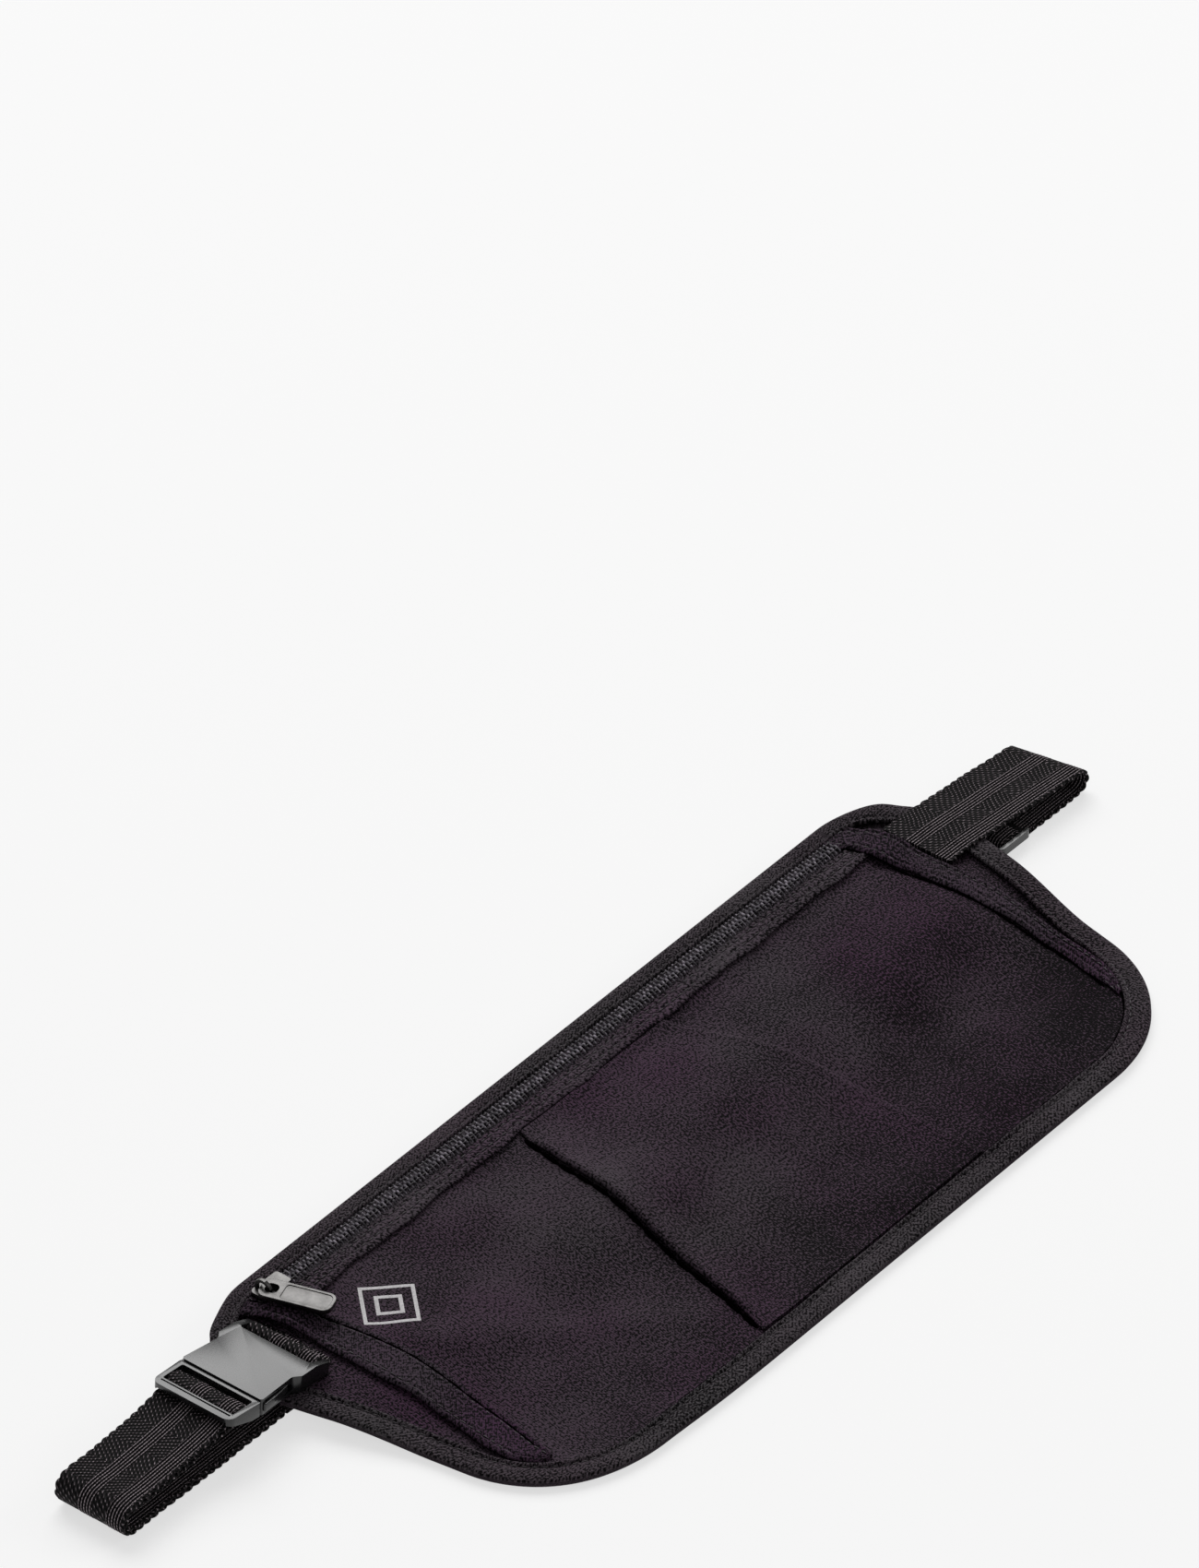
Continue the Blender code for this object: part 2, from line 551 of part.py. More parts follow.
def make_fixed_webbing(webbing):
    ear_top = PLATEAU + HEM_BASE + CLOTH + GAP + WEB / 2.0
    left_x, left_y = LEFT_FOLD
    right_x, right_y = RIGHT_FOLD
    seam_x, seam_y = RIGHT_SEAM
    anchor = [(-133.9, 7.9), (-134.6, 9.0), (-135.3, 9.7), (-136.5, 9.7), (-137.6, 9.2), (-138.1, 8.35),
              (-137.6, 7.5), (-136.5, 7.0), (-135.3, 7.0), (-133.9, 6.5)]
    loop = [on_buckle(x, z) for x, z in anchor]
    add_object("anchor_webbing", ribbon_solid(loop, WEB_HALF, WEB), webbing)

    run = [(seam_x, 7.4), (141.5, ear_top), (152.6, ear_top), (166.0, 7.8), (right_x - GAP, 7.2)]
    slope = (right_y - seam_y) / (right_x - seam_x)
    points = [(x, seam_y + slope * (x - seam_x), z) for x, z in run]
    add_object("strap_right_run", ribbon_solid(points, WEB_HALF, WEB, (0.0, RIGHT_FOLD_ANGLE)), webbing)
    add_object("strap_right_fold", ribbon_solid(half_turn(right_x, right_y, UNDER_Z, 7.2, 1.0), WEB_HALF, WEB,
                                                (RIGHT_FOLD_ANGLE, RIGHT_FOLD_ANGLE)), webbing)
    lower_end = right_x - GAP
    lower = [lower_end - LOWER_LENGTH * (1.0 - i / 3.0) for i in range(4)]
    bm = ribbon_solid([(x, strap_y(x), UNDER_Z) for x in lower], WEB_HALF, WEB, (0.0, RIGHT_FOLD_ANGLE))
    add_object("strap_right_lower", bm, webbing)
    under = [left_x + GAP, -120.0, 0.0, 100.0, lower[0] - GAP]
    back = [left_x + GAP, -120.0, 0.0, 80.0, ADJUSTER_X - 7.0]
    for name, stations, z in (("strap_under_run", under, UNDER_Z), ("strap_return_run", back, RETURN_Z)):
        add_object(name, ribbon_solid([(x, strap_y(x), z) for x in stations], WEB_HALF, WEB), webbing)


def on_buckle(x, z):
    """Point on the belt's middle line, given as it is before the buckle is tilted."""
    dx, dz = x - TILT_FROM[0], z - TILT_FROM[1]
    return (TILT_TO[0] + dx * math.cos(BUCKLE_TILT) + dz * math.sin(BUCKLE_TILT), BUCKLE_Y,
            TILT_TO[1] + dz * math.cos(BUCKLE_TILT) - dx * math.sin(BUCKLE_TILT))


def tilt_with_buckle(obj, x, z):
    """Tilt an object whose origin is at x and z, and what hangs from it, with the buckle."""
    obj.location = (Vector(on_buckle(x, z)) + Vector((POUCH_X, 0.0, 0.0))) * MM
    obj.rotation_euler.y = BUCKLE_TILT


def make_buckle_webbing(webbing, carrier):
    """Left end of the strap, which moves with the male buckle half and wraps round its bar."""
    origin = (MOUTH_X, BUCKLE_Y, MALE_Z[0])
    left_x = LEFT_FOLD[0]
    outer_high, inner_high = 9.0, 7.7
    bar_wrap = [(-169.7, 9.4), (-169.1, 9.5), (-167.5, 9.5), (-166.4, 9.05), (-165.8, 7.95), (-166.4, 6.85),
                (-167.5, 6.4), (-169.9, 6.4)]
    pieces = {
        "strap_left_fold_outer": half_turn(left_x, BUCKLE_Y, UNDER_Z, outer_high, -1.0),
        "strap_left_fold_inner": half_turn(left_x, BUCKLE_Y, RETURN_Z, inner_high, -1.0, 8),
        "strap_left_run_outer": [(left_x + GAP, BUCKLE_Y, outer_high), (-203.0, BUCKLE_Y, 9.1),
                                 (-194.0, BUCKLE_Y, 9.4), (-184.0, BUCKLE_Y, 10.0), (-176.0, BUCKLE_Y, 10.9),
                                 on_buckle(-172.6, 8.0), on_buckle(-171.2, 8.4), on_buckle(-170.3, 9.0)],
        "strap_left_run_inner": [(left_x + GAP, BUCKLE_Y, inner_high), (-203.0, BUCKLE_Y, 7.75),
                                 (-194.0, BUCKLE_Y, 8.0), (-184.0, BUCKLE_Y, 8.55), (-176.0, BUCKLE_Y, 9.4),
                                 on_buckle(-170.3, 6.4)],
        "strap_bar_wrap": [on_buckle(x, z) for x, z in bar_wrap],
    }
    for name, points in pieces.items():
        add_object(name, ribbon_solid(points, WEB_HALF, WEB), webbing, origin, carrier)


# ---------------------------------------------------------------- buckle and adjuster

def make_female(plastic):
    y = BUCKLE_Y
    low, high = FEMALE_Z
    mouth, rear = MOUTH_X, FEMALE_REAR_X
    waist, shoulder, slot = mouth + 14.5, mouth + 16.0, mouth + 21.6
    side = [(mouth, MOUTH_HALF, 0.6), (waist, WAIST_HALF, 1.5), (shoulder, SHOULDER_HALF, 1.0),
            (rear, SHOULDER_HALF, 0.5),
            (rear, SLOT_HALF, 0.4), (slot, SLOT_HALF, 0.5)]
    corners = [(x, y - w, r) for x, w, r in side] + [(x, y + w, r) for x, w, r in reversed(side)]
    female = add_object("buckle_female", extruded(round_outline(corners, 3), low, high), plastic,
                        (mouth, y, low), sharp_angle=30.0)
    post, cavity_depth, tail_drop = 1.6, 17.5, 1.9
    cuts = [box((mouth - 1.0, mouth + cavity_depth), (y - CAVITY_HALF, y + CAVITY_HALF), CAVITY_Z)]
    for s in (1.0, -1.0):
        window = sorted((y + s * (CAVITY_HALF - 1.0), y + s * (BUCKLE_HALF + 2.0)))
        cuts.append(box((mouth + post, waist - 0.8), window, CAVITY_Z))
    tail_slope = [(slot - 1.0, high + 1.0), (slot, high + 0.001), (rear + 1.0, high - tail_drop),
                  (rear + 1.0, high + 1.0)]
    cuts.append(extruded(tail_slope, y - BUCKLE_HALF - 1.0, y + BUCKLE_HALF + 1.0, "Y"))
    combine(female, cuts, "DIFFERENCE", female)
    bar = [(-136.6, 8.1), (-136.2, 7.8), (-135.5, 7.8), (-135.1, 8.1), (-135.1, 8.6), (-135.5, 8.9),
           (-136.2, 8.9), (-136.6, 8.6)]
    combine(female, [extruded(bar, y - SLOT_HALF - 0.4, y + SLOT_HALF + 0.4, "Y")], "UNION", female)
    tilt_with_buckle(female, mouth, low)


def make_male(plastic):
    y = BUCKLE_Y
    low, high = MALE_Z
    front, end = MOUTH_X - GAP, MALE_END_X
    carrier = add_empty("buckle_release", (MOUTH_X, y, low))
    origin = (MOUTH_X, y, low)
    corners = [(front, -MOUTH_HALF, 0.5), (front, MOUTH_HALF, 0.5), (end, MOUTH_HALF - 0.4, 2.6),
               (end, 0.4 - MOUTH_HALF, 2.6)]
    outline = round_outline([(x, y + w, r) for x, w, r in corners], 5)
    male = add_object("buckle_male", extruded(outline, low, high), plastic, origin, carrier, 30.0)
    inner_edge, outer_edge, roof = front - 2.1, end + 2.3, high - 1.5
    cuts = [box((outer_edge, inner_edge), (y - SLOT_HALF, y + SLOT_HALF), (low - 1.0, high + 1.0)),
            box((end - 1.0, outer_edge + 0.5), (y - SLOT_HALF, y + SLOT_HALF), (low - 1.0, roof))]
    taper = [(-165.5, low - 1.0), (-165.5, low - 0.001), (end - 1.0, low + 2.6), (end - 1.0, low - 1.0)]
    cuts.append(extruded(taper, y - MOUTH_HALF - 1.0, y + MOUTH_HALF + 1.0, "Y"))
    combine(male, cuts, "DIFFERENCE", male)
    bar = [(-169.2, 7.6), (-168.8, 7.2), (-167.6, 7.2), (-167.2, 7.6), (-167.2, 8.3), (-167.6, 8.7),
           (-168.8, 8.7), (-169.2, 8.3)]
    tongue = round_outline([(front - 0.5, y - 4.2, 0.0), (front - 0.5, y + 4.2, 0.0), (-147.5, y + 2.6, 1.2),
                            (-147.5, y - 2.6, 1.2)], 3)
    combine(male, [extruded(bar, y - SLOT_HALF - 0.4, y + SLOT_HALF + 0.4, "Y"),
                   extruded(tongue, CAVITY_Z[0] + 0.4, CAVITY_Z[1] - 0.4)], "UNION", male)
    return carrier


def make_latch_arms(plastic, carrier):
    """Flexing side arms: each bends inward about its root when its pad is squeezed."""
    root_x, root_y = ARM_ROOT
    side = [(root_x, root_y - 0.8, 0.2), (-152.5, root_y - 0.2, 1.5), (-147.8, root_y + 0.6, 1.0),
            (-148.2, root_y + 2.6, 1.0), (-150.2, root_y + 4.6, 1.6), (-157.2, root_y + 5.2, 0.8),
            (-159.9, root_y + 4.9, 0.4), (-159.9, root_y + 2.6, 0.4), (-158.2, root_y + 1.2, 0.8),
            (root_x, root_y + 0.8, 0.2)]
    for name, s in (("latch_arm_rear", 1.0), ("latch_arm_front", -1.0)):
        corners = [(x, BUCKLE_Y + s * w, r) for x, w, r in side]
        add_object(name, extruded(round_outline(corners, 3), *ARM_Z), plastic,
                   (root_x, BUCKLE_Y + s * root_y, ARM_Z[0]), carrier, 30.0)


def make_adjuster(plastic, webbing):
    """Tri-glide: a flat frame with three cross bars that the webbing threads."""
    x, y = ADJUSTER_X, strap_y(ADJUSTER_X)
    half, bar, slot = ADJUSTER_HALF_LENGTH, CENTRE_BAR_HALF, ADJUSTER_SLOT
    wall_low = UNDER_Z + WEB / 2.0 + GAP
    bar_high, high = ADJUSTER_HEIGHTS
    origin = (x, y, wall_low)
    carrier = add_empty("adjuster", origin)
    carrier.rotation_euler.z = -STRAP_SKEW
    bpy.context.view_layer.update()

    def place(name, bm, material):
        piece = add_object(name, bm, material, origin)
        piece.parent = carrier
        piece.location = (0.0, 0.0, 0.0)
        return piece

    corners = [(x - half, y - BUCKLE_HALF, 1.6), (x + half, y - BUCKLE_HALF, 1.6),
               (x + half, y + BUCKLE_HALF, 1.6), (x - half, y + BUCKLE_HALF, 1.6)]
    frame = place("adjuster_frame", extruded(round_outline(corners, 4), wall_low, high), plastic)
    below, above = wall_low - 1.0, high + 1.0
    cuts = [((x - half - 1.0, x - bar), (bar_high, above)), ((x + bar, x + half + 1.0), (bar_high, above)),
            ((x - slot, x - bar), (below, above)), ((x + bar, x + slot), (below, above)),
            ((x - bar - 0.5, x + bar + 0.5), (below, CENTRE_BAR_Z[0])),
            ((x - bar - 0.5, x + bar + 0.5), (CENTRE_BAR_Z[1], above))]
    for index, (cut_x, cut_z) in enumerate(cuts):
        tool = place(f"adjuster_cut_{index}", box(cut_x, (y - SLOT_HALF, y + SLOT_HALF), cut_z), None)
        tool.hide_render = True
        tool.display_type = "WIRE"
        modifier = frame.modifiers.new(f"Cut {index}", "BOOLEAN")
        modifier.operation = "DIFFERENCE"
        modifier.object = tool

    lower = wall_low + PRESSED_WEB / 2.0
    upper = CENTRE_BAR_Z[1] + GAP + PRESSED_WEB / 2.0
    turn = [(px, pz) for px, _, pz in reversed(half_turn(x + bar + 0.1, y, lower, upper, 1.0, 6))]
    wrap = [(x - 3.6, lower)] + turn + [(x - 2.6, upper)]
    place("adjuster_loop", ribbon_solid([(px, y, pz) for px, pz in wrap], WEB_HALF, PRESSED_WEB), webbing)
    top = upper + PRESSED_WEB + GAP
    rise = [(4.2, bar_high - 0.5), (3.9, 2.9), (2.8, top - 0.15), (1.5, top)]
    bridge = [(x - u, y, z) for u, z in rise] + [(x + u, y, z) for u, z in reversed(rise)]
    place("adjuster_bridge", ribbon_solid(bridge, WEB_HALF, PRESSED_WEB), webbing)


def main():
    for obj in list(bpy.data.objects):
        bpy.data.objects.remove(obj, do_unlink=True)

    cloth = new_material("pouch_cloth", (0.022, 0.017, 0.023), 0.85)
    tape = new_material("binding_tape", (0.020, 0.017, 0.021), 0.8)
    nylon = new_material("zip_nylon", (0.024, 0.021, 0.026), 0.6)
    webbing = new_material("strap_webbing", (0.014, 0.013, 0.014), 0.7)
    plastic = new_material("buckle_plastic", (0.018, 0.018, 0.018), 0.3)
    metal = new_material("zip_metal", (0.52, 0.52, 0.51), 0.35, 1.0)

    make_panels(cloth)
    make_binding(tape)
    make_hems(cloth)
    make_zip(cloth, nylon)
    slider, hinge_z = make_slider(metal)
    make_puller(metal, slider, hinge_z)
    make_fixed_webbing(webbing)
    make_female(plastic)
    male = make_male(plastic)
    make_latch_arms(plastic, male)
    tilt_with_buckle(male, MOUTH_X, MALE_Z[0])
    make_buckle_webbing(webbing, male)
    make_adjuster(plastic, webbing)


main()
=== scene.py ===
"""Looks of the money belt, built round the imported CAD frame.

Shapes are worked out in millimetres in the pouch's own frame (x along the belt, y towards the zip,
z up) and written in metres in the CAD's frame.
"""

import math

import bmesh  # noqa: E402
import bpy  # noqa: E402
import numpy as np  # noqa: E402
from mathutils import Matrix, Vector  # noqa: E402


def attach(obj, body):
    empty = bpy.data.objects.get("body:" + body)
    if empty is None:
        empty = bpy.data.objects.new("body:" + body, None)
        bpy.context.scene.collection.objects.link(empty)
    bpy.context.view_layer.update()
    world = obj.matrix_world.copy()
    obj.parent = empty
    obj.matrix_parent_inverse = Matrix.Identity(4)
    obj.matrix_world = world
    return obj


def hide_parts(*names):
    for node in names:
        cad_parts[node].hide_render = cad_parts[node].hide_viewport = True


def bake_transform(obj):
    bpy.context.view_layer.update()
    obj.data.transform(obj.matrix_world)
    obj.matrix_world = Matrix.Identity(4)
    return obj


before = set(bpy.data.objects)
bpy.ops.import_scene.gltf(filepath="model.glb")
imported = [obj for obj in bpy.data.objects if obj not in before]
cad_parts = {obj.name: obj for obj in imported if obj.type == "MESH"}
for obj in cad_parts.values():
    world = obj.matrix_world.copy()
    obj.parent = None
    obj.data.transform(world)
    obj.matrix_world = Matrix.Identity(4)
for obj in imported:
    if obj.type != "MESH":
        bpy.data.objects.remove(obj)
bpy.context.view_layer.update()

MM = 0.001
POUCH_X = 11.05

# The frame's own dimensions, as in the CAD.
HALF_HEIGHT, TOP_HALF_WIDTH, BOTTOM_HALF_WIDTH = 65.2, 158.5, 133.0
TOP_RADIUS, BOTTOM_RADIUS = 29.0, 44.5
BINDING_WIDTH, EDGE_INSET = 7.2, 1.5
PLATEAU, PLATEAU_Y, RAMP_WIDTH = 4.4, 12.0, 32.0
EAR_DROP, EAR_DROP_X = 1.4, (-127.0, -138.0)
BACK_BASE, FRONT_BASE, HEM_BASE, TAPE_BASE, WELT_BASE, COIL_BASE = 0.7, 1.4, 2.1, 2.3, 3.0, 3.0
CLOTH = 0.4
ZIP_Y = 54.6
STRAP_Y, RIGHT_FOLD_Y = 37.0, 32.5
LEFT_FOLD_X, RIGHT_FOLD_X = -210.4, 187.2
WEB_HALF, WEB = 12.1, 1.0
RIB_PITCH, RIB_BANDS, RIB_BAND_HALF = 0.98, (1.6, -8.7), 2.45
SLANT = math.atan2(TOP_HALF_WIDTH - BOTTOM_HALF_WIDTH, 2.0 * HALF_HEIGHT)
NX, NY = math.cos(SLANT), -math.sin(SLANT)

# The buckle is laid out level and then tilted, mouth up, about a line across it (x and z before and after).
TILT, TILT_FROM, TILT_TO = math.radians(7.0), (-140.4, 11.0), (-139.3, 10.9)


# ---- shared shapes

def on_buckle(x, z):
    """x and z, as tilted with the buckle, of a point laid out level."""
    dx, dz = x - TILT_FROM[0], z - TILT_FROM[1]
    return (TILT_TO[0] + dx * math.cos(TILT) + dz * math.sin(TILT),
            TILT_TO[1] + dz * math.cos(TILT) - dx * math.sin(TILT))


def smooth(t):
    """Ease from 0 to 1 as t does."""
    t = np.clip(t, 0.0, 1.0)
    return t * t * (3.0 - 2.0 * t)


def drape(x, y):
    """Height of the pouch's underside above the table."""
    rise = PLATEAU - EAR_DROP * smooth((EAR_DROP_X[0] - x) / (EAR_DROP_X[0] - EAR_DROP_X[1]))
    return rise * smooth((y - PLATEAU_Y + RAMP_WIDTH) / RAMP_WIDTH)


def corner_centre(radius, y_centre):
    """x of the middle of a rounded corner that touches the slanted side."""
    return (NX * TOP_HALF_WIDTH + NY * HALF_HEIGHT - radius - NY * y_centre) / NX


def half_width(y, inset):
    """Half the pouch's width at a height, for an outline moved inward by inset."""
    for radius, yc, side in ((TOP_RADIUS, HALF_HEIGHT - TOP_RADIUS, 1.0),
                             (BOTTOM_RADIUS, BOTTOM_RADIUS - HALF_HEIGHT, -1.0)):
        arc = radius - inset
        if (y - yc + arc * math.sin(SLANT)) * side > 0.0:
            return corner_centre(radius, yc) + math.sqrt(max(arc * arc - (y - yc) ** 2, 0.0))
    return (NX * TOP_HALF_WIDTH + NY * HALF_HEIGHT - inset - NY * y) / NX


def curve_through(table, at):
    """Smooth curve through (at, value) rows, by cubic Hermite pieces."""
    xs = np.array([row[0] for row in table], float)
    ys = np.array([row[1] for row in table], float)
    slopes = np.gradient(ys, xs)
    at = np.clip(np.asarray(at, float), xs[0], xs[-1])
    i = np.clip(np.searchsorted(xs, at, side="right") - 1, 0, len(xs) - 2)
    h = xs[i + 1] - xs[i]
    t = (at - xs[i]) / h
    a, b = 2 * t ** 3 - 3 * t ** 2 + 1, t ** 3 - 2 * t ** 2 + t
    c, d = -2 * t ** 3 + 3 * t ** 2, t ** 3 - t ** 2
    return a * ys[i] + b * h * slopes[i] + c * ys[i + 1] + d * h * slopes[i + 1]


def lengths_along(line):
    """Distance from a polyline's start to each of its points."""
    return np.concatenate([[0.0], np.cumsum(np.linalg.norm(np.diff(line, axis=0), axis=1))])


def bell(distance, width):
    """1 at no distance, falling away over width."""
    return np.exp(-(distance / width) ** 2)


def ripple(x, y, seed):
    """Gentle cloth unevenness in millimetres, from a few sines."""
    rng = np.random.default_rng(seed)
    total = np.zeros_like(np.asarray(x, float) + np.asarray(y, float))
    for wavelength, amount in ((62.0, 0.28), (37.0, 0.2), (23.0, 0.12), (12.0, 0.05)):
        for _ in range(2):
            a, shift = rng.uniform(0.0, math.tau), rng.uniform(0.0, math.tau)
            run = x * math.cos(a) + y * math.sin(a)
            total = total + amount * np.sin(math.tau * run / wavelength + shift)
    return total


# A crease keeps its full height over this share of its length each way from its middle, then fades.
CREASE_FULL, CREASE_FADE = 0.35, 0.22
# Soft creases of the pocket front: (x, y) of both ends, half width and height.
CREASES = [((-112.0, 12.0), (-54.0, -40.0), 6.5, 1.2),
           ((52.0, 16.0), (102.0, 8.0), 14.0, 0.9),
           ((-84.0, 30.0), (-72.0, 4.0), 10.0, -0.5),
           ((-66.0, 44.0), (-52.0, 14.0), 9.0, 0.5),
           ((58.0, 30.0), (118.0, 6.0), 12.0, 0.6),
           ((70.0, -8.0), (128.0, -34.0), 9.0, -0.6),
           ((98.0, 36.0), (126.0, -6.0), 10.0, 0.6),
           ((52.0, -30.0), (84.0, -58.0), 9.0, 0.5),
           ((-74.0, -20.0), (-110.0, -48.0), 8.0, -0.5),
           ((-10.0, 30.0), (26.0, -20.0), 14.0, 0.4),
           ((8.0, -18.0), (40.0, -52.0), 9.0, -0.5)]


def creases(x, y):
    """Height the soft creases add."""
    total = 0.0
    for (ax, ay), (bx, by), width, height in CREASES:
        dx, dy = bx - ax, by - ay
        length2 = dx * dx + dy * dy
        t = ((x - ax) * dx + (y - ay) * dy) / length2
        across = ((x - ax) * dy - (y - ay) * dx) / math.sqrt(length2)
        along = bell(np.clip(np.abs(t - 0.5) - CREASE_FULL, 0.0, None), CREASE_FADE)
        total = total + height * along * bell(across, width)
    return total


# The pocket front swells by BELLY about (0, BELLY_Y) and lies flat from FLAT_FROM_Y to the zip.
BELLY, BELLY_Y, BELLY_HALF_X, BELLY_HALF_Y = 2.2, -8.0, 114.0, 48.0
WELT_RAMP, FLAT_FROM_Y = 6.0, 46.0


def inner_mask(x, y, reach=9.0):
    """1 inside the pocket front and 0 at its sewn edges."""
    half = np.vectorize(lambda v: half_width(v, BINDING_WIDTH))(y)
    side = smooth((half - np.abs(x)) / reach)
    return side * smooth((FLAT_FROM_Y - y) / reach) * smooth((y + HALF_HEIGHT - BINDING_WIDTH) / reach)


# Edges of the two hem bands: x at each y.  The front rises to its full unevenness over HEM_REACH.
HEM_REACH = 7.0
HEM_LEFT_OUTER = [(-50.0, -130.5), (-25.0, -129.2), (0.0, -128.6), (30.0, -128.6), (47.0, -129.6),
                  (57.6, -133.2)]
HEM_LEFT_INNER = [(-50.0, -121.8), (-25.0, -117.2), (0.0, -115.4), (30.0, -117.2), (47.0, -121.5),
                  (57.6, -126.5)]
HEM_RIGHT_OUTER = [(-50.0, 127.6), (-25.0, 132.6), (0.0, 134.7), (30.0, 134.4), (47.0, 133.2), (57.6, 129.0)]
HEM_RIGHT_INNER = [(-50.0, 121.6), (-25.0, 127.0), (0.0, 128.0), (20.0, 127.0), (32.0, 125.2),
                   (47.0, 122.8), (57.6, 118.6)]


def between_hems(x, y):
    """1 on the open pocket front and 0 under both hem bands."""
    left, right = curve_through(HEM_LEFT_INNER, y), curve_through(HEM_RIGHT_INNER, y)
    return smooth((x - left) / HEM_REACH) * smooth((right - x) / HEM_REACH)


def front_height(x, y):
    """Height of the pocket front's underside above the table."""
    to_welt = (TAPE_BASE - FRONT_BASE) * smooth((y - FLAT_FROM_Y + WELT_RAMP) / WELT_RAMP)
    across = np.clip(1.0 - (x / BELLY_HALF_X) ** 2, 0.0, None)
    along = np.clip(1.0 - ((y - BELLY_Y) / BELLY_HALF_Y) ** 2, 0.0, None)
    uneven = (ripple(x, y, 7) + creases(x, y)) * inner_mask(x, y) * between_hems(x, y)
    return drape(x, y) + FRONT_BASE + to_welt + BELLY * across * along + uneven


def flange_height(x, y):
    """Height of the edge binding's upper flange, which climbs onto the zip's outer side."""
    return drape(x, y) + HEM_BASE + (WELT_BASE - HEM_BASE) * smooth((y - 51.5) / 5.5)


def hem_height(x, y):
    """Height of the hem bands, which cross over the welt near its end."""
    over_welt = WELT_BASE + 0.9
    rise = (over_welt - HEM_BASE) * smooth((y - 34.0) / 9.5)
    fall = (over_welt - WELT_BASE) * smooth((y - 51.2) / 1.4)
    return drape(x, y) + HEM_BASE + rise - fall


def settle(x, y):
    """Small uneven pull of the sewn outline: narrower binding by the zip, tighter lower left corner."""
    left = 1.6 * bell(y + 12.0, 22.0) * smooth((-x - 105.0) / 30.0)
    low = 1.5 * bell(x + 103.0, 24.0) * smooth((-y - 40.0) / 25.0)
    top = -1.5 * smooth((y - 57.0) / 8.0)
    return np.column_stack([left, low + top, np.zeros_like(left)])


# ---- mesh writing

def new_object(name, data):
    """Object added to the scene."""
    obj = bpy.data.objects.new(name, data)
    bpy.context.scene.collection.objects.link(obj)
    return obj


def add_mesh(name, points, faces, material, body, replaces=(), uv=None, sharp=50.0):
    """Mesh from points in millimetres, riding on a body."""
    points = np.asarray(points, float).reshape(-1, 3)
    if body == "root":
        points = points + settle(points[:, 0], points[:, 1])
    world = (points + (POUCH_X, 0.0, 0.0)) * MM
    mesh = bpy.data.meshes.new(name)
    mesh.from_pydata(world.tolist(), [], [tuple(f) for f in faces])
    if uv is not None:
        layer = mesh.uv_layers.new(name="weave")
        index = np.zeros(len(mesh.loops), np.int32)
        mesh.loops.foreach_get("vertex_index", index)
        layer.data.foreach_set("uv", np.asarray(uv, np.float32).reshape(-1, 2)[index].ravel())
    bm = bmesh.new()
    bm.from_mesh(mesh)
    bmesh.ops.recalc_face_normals(bm, faces=bm.faces)
    bm.to_mesh(mesh)
    bm.free()
    mesh.shade_smooth()
    mesh.set_sharp_from_angle(angle=math.radians(sharp))
    mesh.materials.append(material)
    obj = new_object(name, mesh)
    if body is not None:
        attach(obj, body)
    if replaces:
        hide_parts(*replaces)
    return obj


def grid_faces(rows, columns, start=0):
    """Four-sided faces between points laid out in rows, the first of them numbered start."""
    i, j = np.meshgrid(np.arange(rows - 1), np.arange(columns - 1), indexing="ij")
    a = (i * columns + j).ravel() + start
    return np.stack([a, a + 1, a + columns + 1, a + columns], 1)


def solid_sheet(top, bottom, uv):
    """Closed solid between two grids: points, faces and uv."""
    rows, columns = top.shape[:2]
    count = rows * columns
    faces = [grid_faces(rows, columns), grid_faces(rows, columns, count)[:, ::-1]]
    ring = [*range(columns), *(i * columns + columns - 1 for i in range(1, rows))]
    ring += [(rows - 1) * columns + j for j in range(columns - 2, -1, -1)]
    ring = np.array(ring + [i * columns for i in range(rows - 2, 0, -1)])
    after = np.roll(ring, -1)
    faces.append(np.stack([ring, ring + count, after + count, after], 1))
    points = np.concatenate([top.reshape(-1, 3), bottom.reshape(-1, 3)])
    return points, np.concatenate(faces).tolist(), np.concatenate([uv.reshape(-1, 2)] * 2)


def sweep(rings):
    """Faces of a closed tube through rings of points (stations, section, 3)."""
    stations, count = rings.shape[:2]
    faces = []
    for i in range(stations):
        k = (i + 1) % stations
        j = np.arange(count)
        m = (j + 1) % count
        faces.append(np.stack([i * count + j, i * count + m, k * count + m, k * count + j], 1))
    return np.concatenate(faces).tolist()


def add_tube(points, faces, rings):
    """Append a capped tube through rings of points to lists of points and faces."""
    start, sides = len(points), len(rings[0])
    for i, ring in enumerate(rings):
        points.extend(ring)
        if i:
            low, high = start + (i - 1) * sides, start + i * sides
            after = [(j + 1) % sides for j in range(sides)]
            faces.extend((low + j, low + after[j], high + after[j], high + j) for j in range(sides))
    faces.append(tuple(range(start, start + sides)))
    faces.append(tuple(range(len(points) - 1, len(points) - sides - 1, -1)))


def resample(line, step):
    """Points along a polyline at even steps, rounded by a spline."""
    line = np.asarray(line, float)
    s = lengths_along(line)
    at = np.linspace(0.0, s[-1], max(int(round(s[-1] / step)), 1) + 1)
    return np.stack([curve_through(list(zip(s, values)), at) for values in line.T], 1), at


# ---- materials

